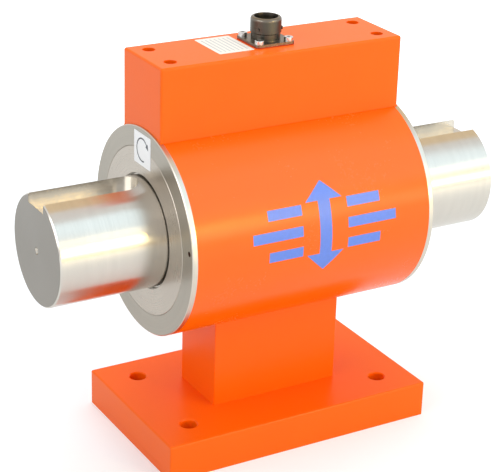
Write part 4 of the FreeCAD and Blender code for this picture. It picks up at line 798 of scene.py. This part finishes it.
class TORQUE_OT_add_data_label(bpy.types.Operator):
    """Stick the data label on the box and print plain grey rows on it"""
    bl_idname = "torque.add_data_label"
    bl_label = "Add the data label"

    def execute(self, context):
        labels = context.scene.torque_labels
        middle = Vector(labels.data_middle) + Vector((0.0, 0.0, BOX_TOP + HAIR))
        film = label_film("data_label", labels.data_width, labels.data_length, labels)
        put_in_place(film, FACING_UP, middle)
        # The data film's colour holds painted shade for the box top's stronger light
        finish_piece(film, film_material("data_film", labels.data_film))
        rows = self.rows(labels)
        thicken(rows, labels.print_thickness)
        put_in_place(rows, FACING_UP, middle + Vector((0.0, 0.0, labels.thickness + HAIR)))
        finish_piece(rows, ink_material("row_ink", labels.row_ink))
        return {"FINISHED"}

    def rows(self, labels):
        """Evenly spaced rows, one above another."""
        pitch = labels.data_length / (labels.data_rows + 1)
        row_length, row_width = 0.8 * labels.data_width, 0.3 * pitch
        lowest = -pitch * (labels.data_rows - 1) / 2
        rows = rectangle("data_rows", row_length, row_width, (0.0, 0.0, lowest))
        apply_modifier(rows, "ARRAY", count=labels.data_rows, use_relative_offset=False,
                       use_constant_offset=True, constant_offset_displace=(0.0, 0.0, pitch))
        return rows


class TORQUE_OT_print_mark(bpy.types.Operator):
    """Print the blue torque mark on the front of the sleeve"""
    bl_idname = "torque.print_mark"
    bl_label = "Print the torque mark"

    def execute(self, context):
        mark = context.scene.torque_mark
        head_width = 4.0 * mark.bar
        shapes = self.double_arrow(mark, head_width) + self.bars(mark, inner=0.62 * head_width)
        piece = joined("torque_mark", shapes)
        self.wrap(piece, mark)
        finish_piece(piece, ink_material("mark_ink", mark.blue))
        return {"FINISHED"}

    def double_arrow(self, mark, head_width):
        """The stem and the two heads of the upright arrow."""
        stem_width, head_height = 1.3 * mark.bar, 0.42 * mark.arrow_reach
        neck = mark.arrow_reach - head_height
        shapes = [rectangle("stem", stem_width, 2 * neck)]
        for tip_angle, way in ((0.0, 1), (math.pi, -1)):
            shapes.append(arrow_head(head_width, head_height, tip_angle, (0.0, 0.0, way * neck)))
        return shapes

    def bars(self, mark, inner):
        """Three bars each side of the arrow, from this far out; the middle pair is the longest."""
        shorter = 0.78
        bars = []
        for side in (-1, 1):
            for row, share_of_length in ((-2, shorter), (0, 1.0), (2, shorter)):
                outer = share_of_length * mark.half_length
                middle = (side * (outer + inner) / 2, 0.0, row * mark.bar)
                bars.append(rectangle("bar", outer - inner, mark.bar, middle))
        return bars

    def wrap(self, piece, mark):
        """Cut a flat print into narrow rows, bend it round the sleeve and sink it into the paint."""
        rows = 44
        thickness = 1.6 * HAIR
        radius = SLEEVE_RADIUS - HAIR
        low, high = extent(piece, "z")
        with editing(piece):
            for number in range(1, rows):
                bpy.ops.mesh.select_all(action="SELECT")
                bpy.ops.mesh.bisect(plane_co=(0.0, 0.0, low + (high - low) * number / rows),
                                    plane_no=(0.0, 0.0, 1.0))
        apply_modifier(piece, "SIMPLE_DEFORM", deform_method="BEND", deform_axis="X",
                       angle=(high - low) / radius)
        thicken(piece, thickness)
        piece.location = (0.0, -radius, 0.0)
        settle(piece)
        put_in_place(piece, (mark.lean - math.pi / 2, 0.0, 0.0), (mark.middle, 0.0, SHAFT_LINE))


class TORQUE_OT_set_stage(bpy.types.Operator):
    """Set up the floor, the soft light and the camera"""
    bl_idname = "torque.set_stage"
    bl_label = "Set the stage"

    def execute(self, context):
        studio = context.scene.torque_studio
        context.scene.view_settings.view_transform = "Standard"
        self.floor(studio)
        self.room(context.scene, studio)
        self.lamps()
        self.cards()
        self.camera(context.scene, studio)
        return {"FINISHED"}

    def floor(self, studio):
        """A pale floor that reads as white and keeps the shadow."""
        floor = rectangle("studio_floor", studio.floor_size, studio.floor_size, (0.0, 0.0, -HAIR), LEVEL)
        finish = Finish("studio_floor", studio.floor_colour, roughness=0.85)
        finish.tint(finish.noise(spacing=400 * MM), depth=0.01)
        x, y, z = finish.parts()
        away = finish.round_line(z, x, y)[1]
        glow = finish.between(away, studio.near_glow, 1.0, studio.shadow_reach, 4 * studio.shadow_reach)
        seen = finish.in_sight(studio.mirrored_glow)
        finish.put("Emission Color", studio.glow_colour)
        finish.put("Emission Strength", finish.calculate("MULTIPLY", seen, glow))
        floor.data.materials.append(finish.material)

    def room(self, scene, studio):
        """A white room: plain white to the eye and in reflections, softer as a light."""
        scene.world = bpy.data.worlds.new("studio_room")
        scene.world.use_nodes = True
        nodes = Nodes(scene.world.node_tree)
        nodes.tree.nodes.clear()
        glow = nodes.between(nodes.in_sight(), studio.room, 1.0)
        light = nodes.add("ShaderNodeBackground", {"Color": WHITE, "Strength": glow})
        nodes.add("ShaderNodeOutputWorld", {"Surface": light.outputs[0]})

    def lamps(self):
        """Soft boxes above, in front and at the left side, in metres."""
        self.lamp("ceiling_light", spot=(0.30, 0.45, 1.55), width=1.3, height=1.3, brightness=2.5,
                  tone=(1.0, 0.98, 0.94), mirrored=False)
        self.lamp("fill_light", spot=(0.62, -0.69, 1.09), width=0.9, height=0.9, brightness=1.1,
                  tone=(1.0, 0.97, 0.92), mirrored=False)
        self.lamp("sky_light", spot=(0.62, -0.76, 1.03), width=0.9, height=1.05, brightness=0.75,
                  tone=(0.50, 0.82, 1.0))
        self.lamp("window_light", spot=(0.55, -1.45, 0.31), width=1.7, height=0.26, brightness=4.2,
                  tone=(1.0, 0.80, 0.40))
        self.lamp("golden_light", spot=(0.56, -1.30, 0.48), width=0.24, height=0.20, brightness=20.0,
                  tone=(1.0, 0.66, 0.16))
        self.lamp("side_light", spot=(-1.30, -0.25, 0.75), width=1.0, height=0.8, brightness=2.4, tone=WHITE)
        self.lamp("window_top", spot=(0.64, -1.30, 0.80), width=1.7, height=0.42, brightness=0.8,
                  tone=(1.0, 0.82, 0.52))

    def lamp(self, name, spot, width, height, brightness, tone, mirrored=True):
        """A soft box that faces the object, with this brightness over its face."""
        deselect()
        bpy.ops.object.light_add(type="AREA", location=spot)
        lamp = bpy.context.object
        lamp.name = name
        lamp.data.shape = "RECTANGLE"
        lamp.data.size = width
        lamp.data.size_y = height
        lamp.data.energy = brightness * math.pi * width * height
        lamp.data.color = tone
        lamp.visible_glossy = mirrored
        towards = Vector((0.0, 0.0, SHAFT_LINE)) - Vector(spot)
        lamp.rotation_euler = towards.to_track_quat("-Z", "Y").to_euler()

    def cards(self):
        """A warm card over the object, and a low one in front of it, in metres."""
        self.card("warm_ceiling", middle=(0.85, 1.58, 1.60), width=2.7, height=2.9, tilt=LEVEL,
                  tone=(1.0, 0.79, 0.52), brightness=1.0)
        self.card("window_sill", middle=(-0.42, -1.50, 0.04), width=2.4, height=0.22, tilt=UPRIGHT,
                  tone=(1.0, 0.82, 0.56), brightness=1.5)

    def card(self, name, middle, width, height, tilt, tone, brightness):
        """A bright card that only shows in the object's reflections."""
        card = rectangle(name, width, height, middle, tilt)
        finish = Finish(name, base=(0.0, 0.0, 0.0), roughness=1.0)
        finish.put("Specular IOR Level", 0.0)
        finish.put("Emission Color", tone)
        finish.put("Emission Strength", brightness)
        card.data.materials.append(finish.material)
        for ray in ("camera", "diffuse", "transmission", "volume_scatter", "shadow"):
            setattr(card, "visible_" + ray, False)

    def camera(self, scene, studio):
        """The camera at the photograph's angle."""
        turn, rise, roll = studio.azimuth, studio.elevation, studio.roll
        back = Vector((math.sin(turn) * math.cos(rise), -math.cos(turn) * math.cos(rise), math.sin(rise)))
        right = (-back).cross(Vector((0.0, 0.0, 1.0))).normalized()
        up = right.cross(-back)
        leaned_right = right * math.cos(roll) + up * math.sin(roll)
        leaned_up = up * math.cos(roll) - right * math.sin(roll)
        axes = Matrix((leaned_right, leaned_up, back)).transposed().to_4x4()
        deselect()
        bpy.ops.object.camera_add()
        camera = bpy.context.object
        camera.name = "photo_camera"
        camera.matrix_world = Matrix.Translation(Vector(studio.aim) + back * studio.distance) @ axes
        camera.data.sensor_fit = "HORIZONTAL"
        camera.data.sensor_width = SENSOR_WIDTH
        camera.data.lens = studio.lens
        scene.camera = camera


# What is registered, in order

SETTINGS = {
    "torque_paint": PaintSettings,
    "torque_steel": SteelSettings,
    "torque_labels": LabelSettings,
    "torque_mark": MarkSettings,
    "torque_studio": StudioSettings,
}
OPERATORS = (
    TORQUE_OT_paint_housing, TORQUE_OT_turn_steel, TORQUE_OT_finish_bearings, TORQUE_OT_finish_transformers,
    TORQUE_OT_finish_electronics, TORQUE_OT_finish_fasteners, TORQUE_OT_finish_connector,
    TORQUE_OT_add_rotation_label, TORQUE_OT_add_data_label, TORQUE_OT_print_mark, TORQUE_OT_set_stage,
)


class TORQUE_PT_sidebar(bpy.types.Panel):
    """Steps and settings of the torque sensor, in the 3D view's sidebar"""
    bl_label = "Torque Sensor"
    bl_idname = "TORQUE_PT_sidebar"
    bl_space_type = "VIEW_3D"
    bl_region_type = "UI"
    bl_category = "Torque Sensor"

    def draw(self, context):
        for operator in OPERATORS:
            self.layout.operator(operator.bl_idname)
        for name, group in SETTINGS.items():
            box = self.layout.box()
            for field in group.__annotations__:
                box.prop(getattr(context.scene, name), field)


def register():
    """Add the settings, operators and panel."""
    for name, group in SETTINGS.items():
        bpy.utils.register_class(group)
        setattr(bpy.types.Scene, name, PointerProperty(type=group))
    for part in (*OPERATORS, TORQUE_PT_sidebar):
        bpy.utils.register_class(part)


def unregister():
    """Take them away again."""
    for part in (TORQUE_PT_sidebar, *reversed(OPERATORS)):
        bpy.utils.unregister_class(part)
    for name, group in SETTINGS.items():
        delattr(bpy.types.Scene, name)
        bpy.utils.unregister_class(group)


def main():
    """Run every step in order."""
    register()
    for operator in OPERATORS:
        step = operator.bl_idname.split(".")[1]
        getattr(bpy.ops.torque, step)()


if __name__ == "__main__":
    main()
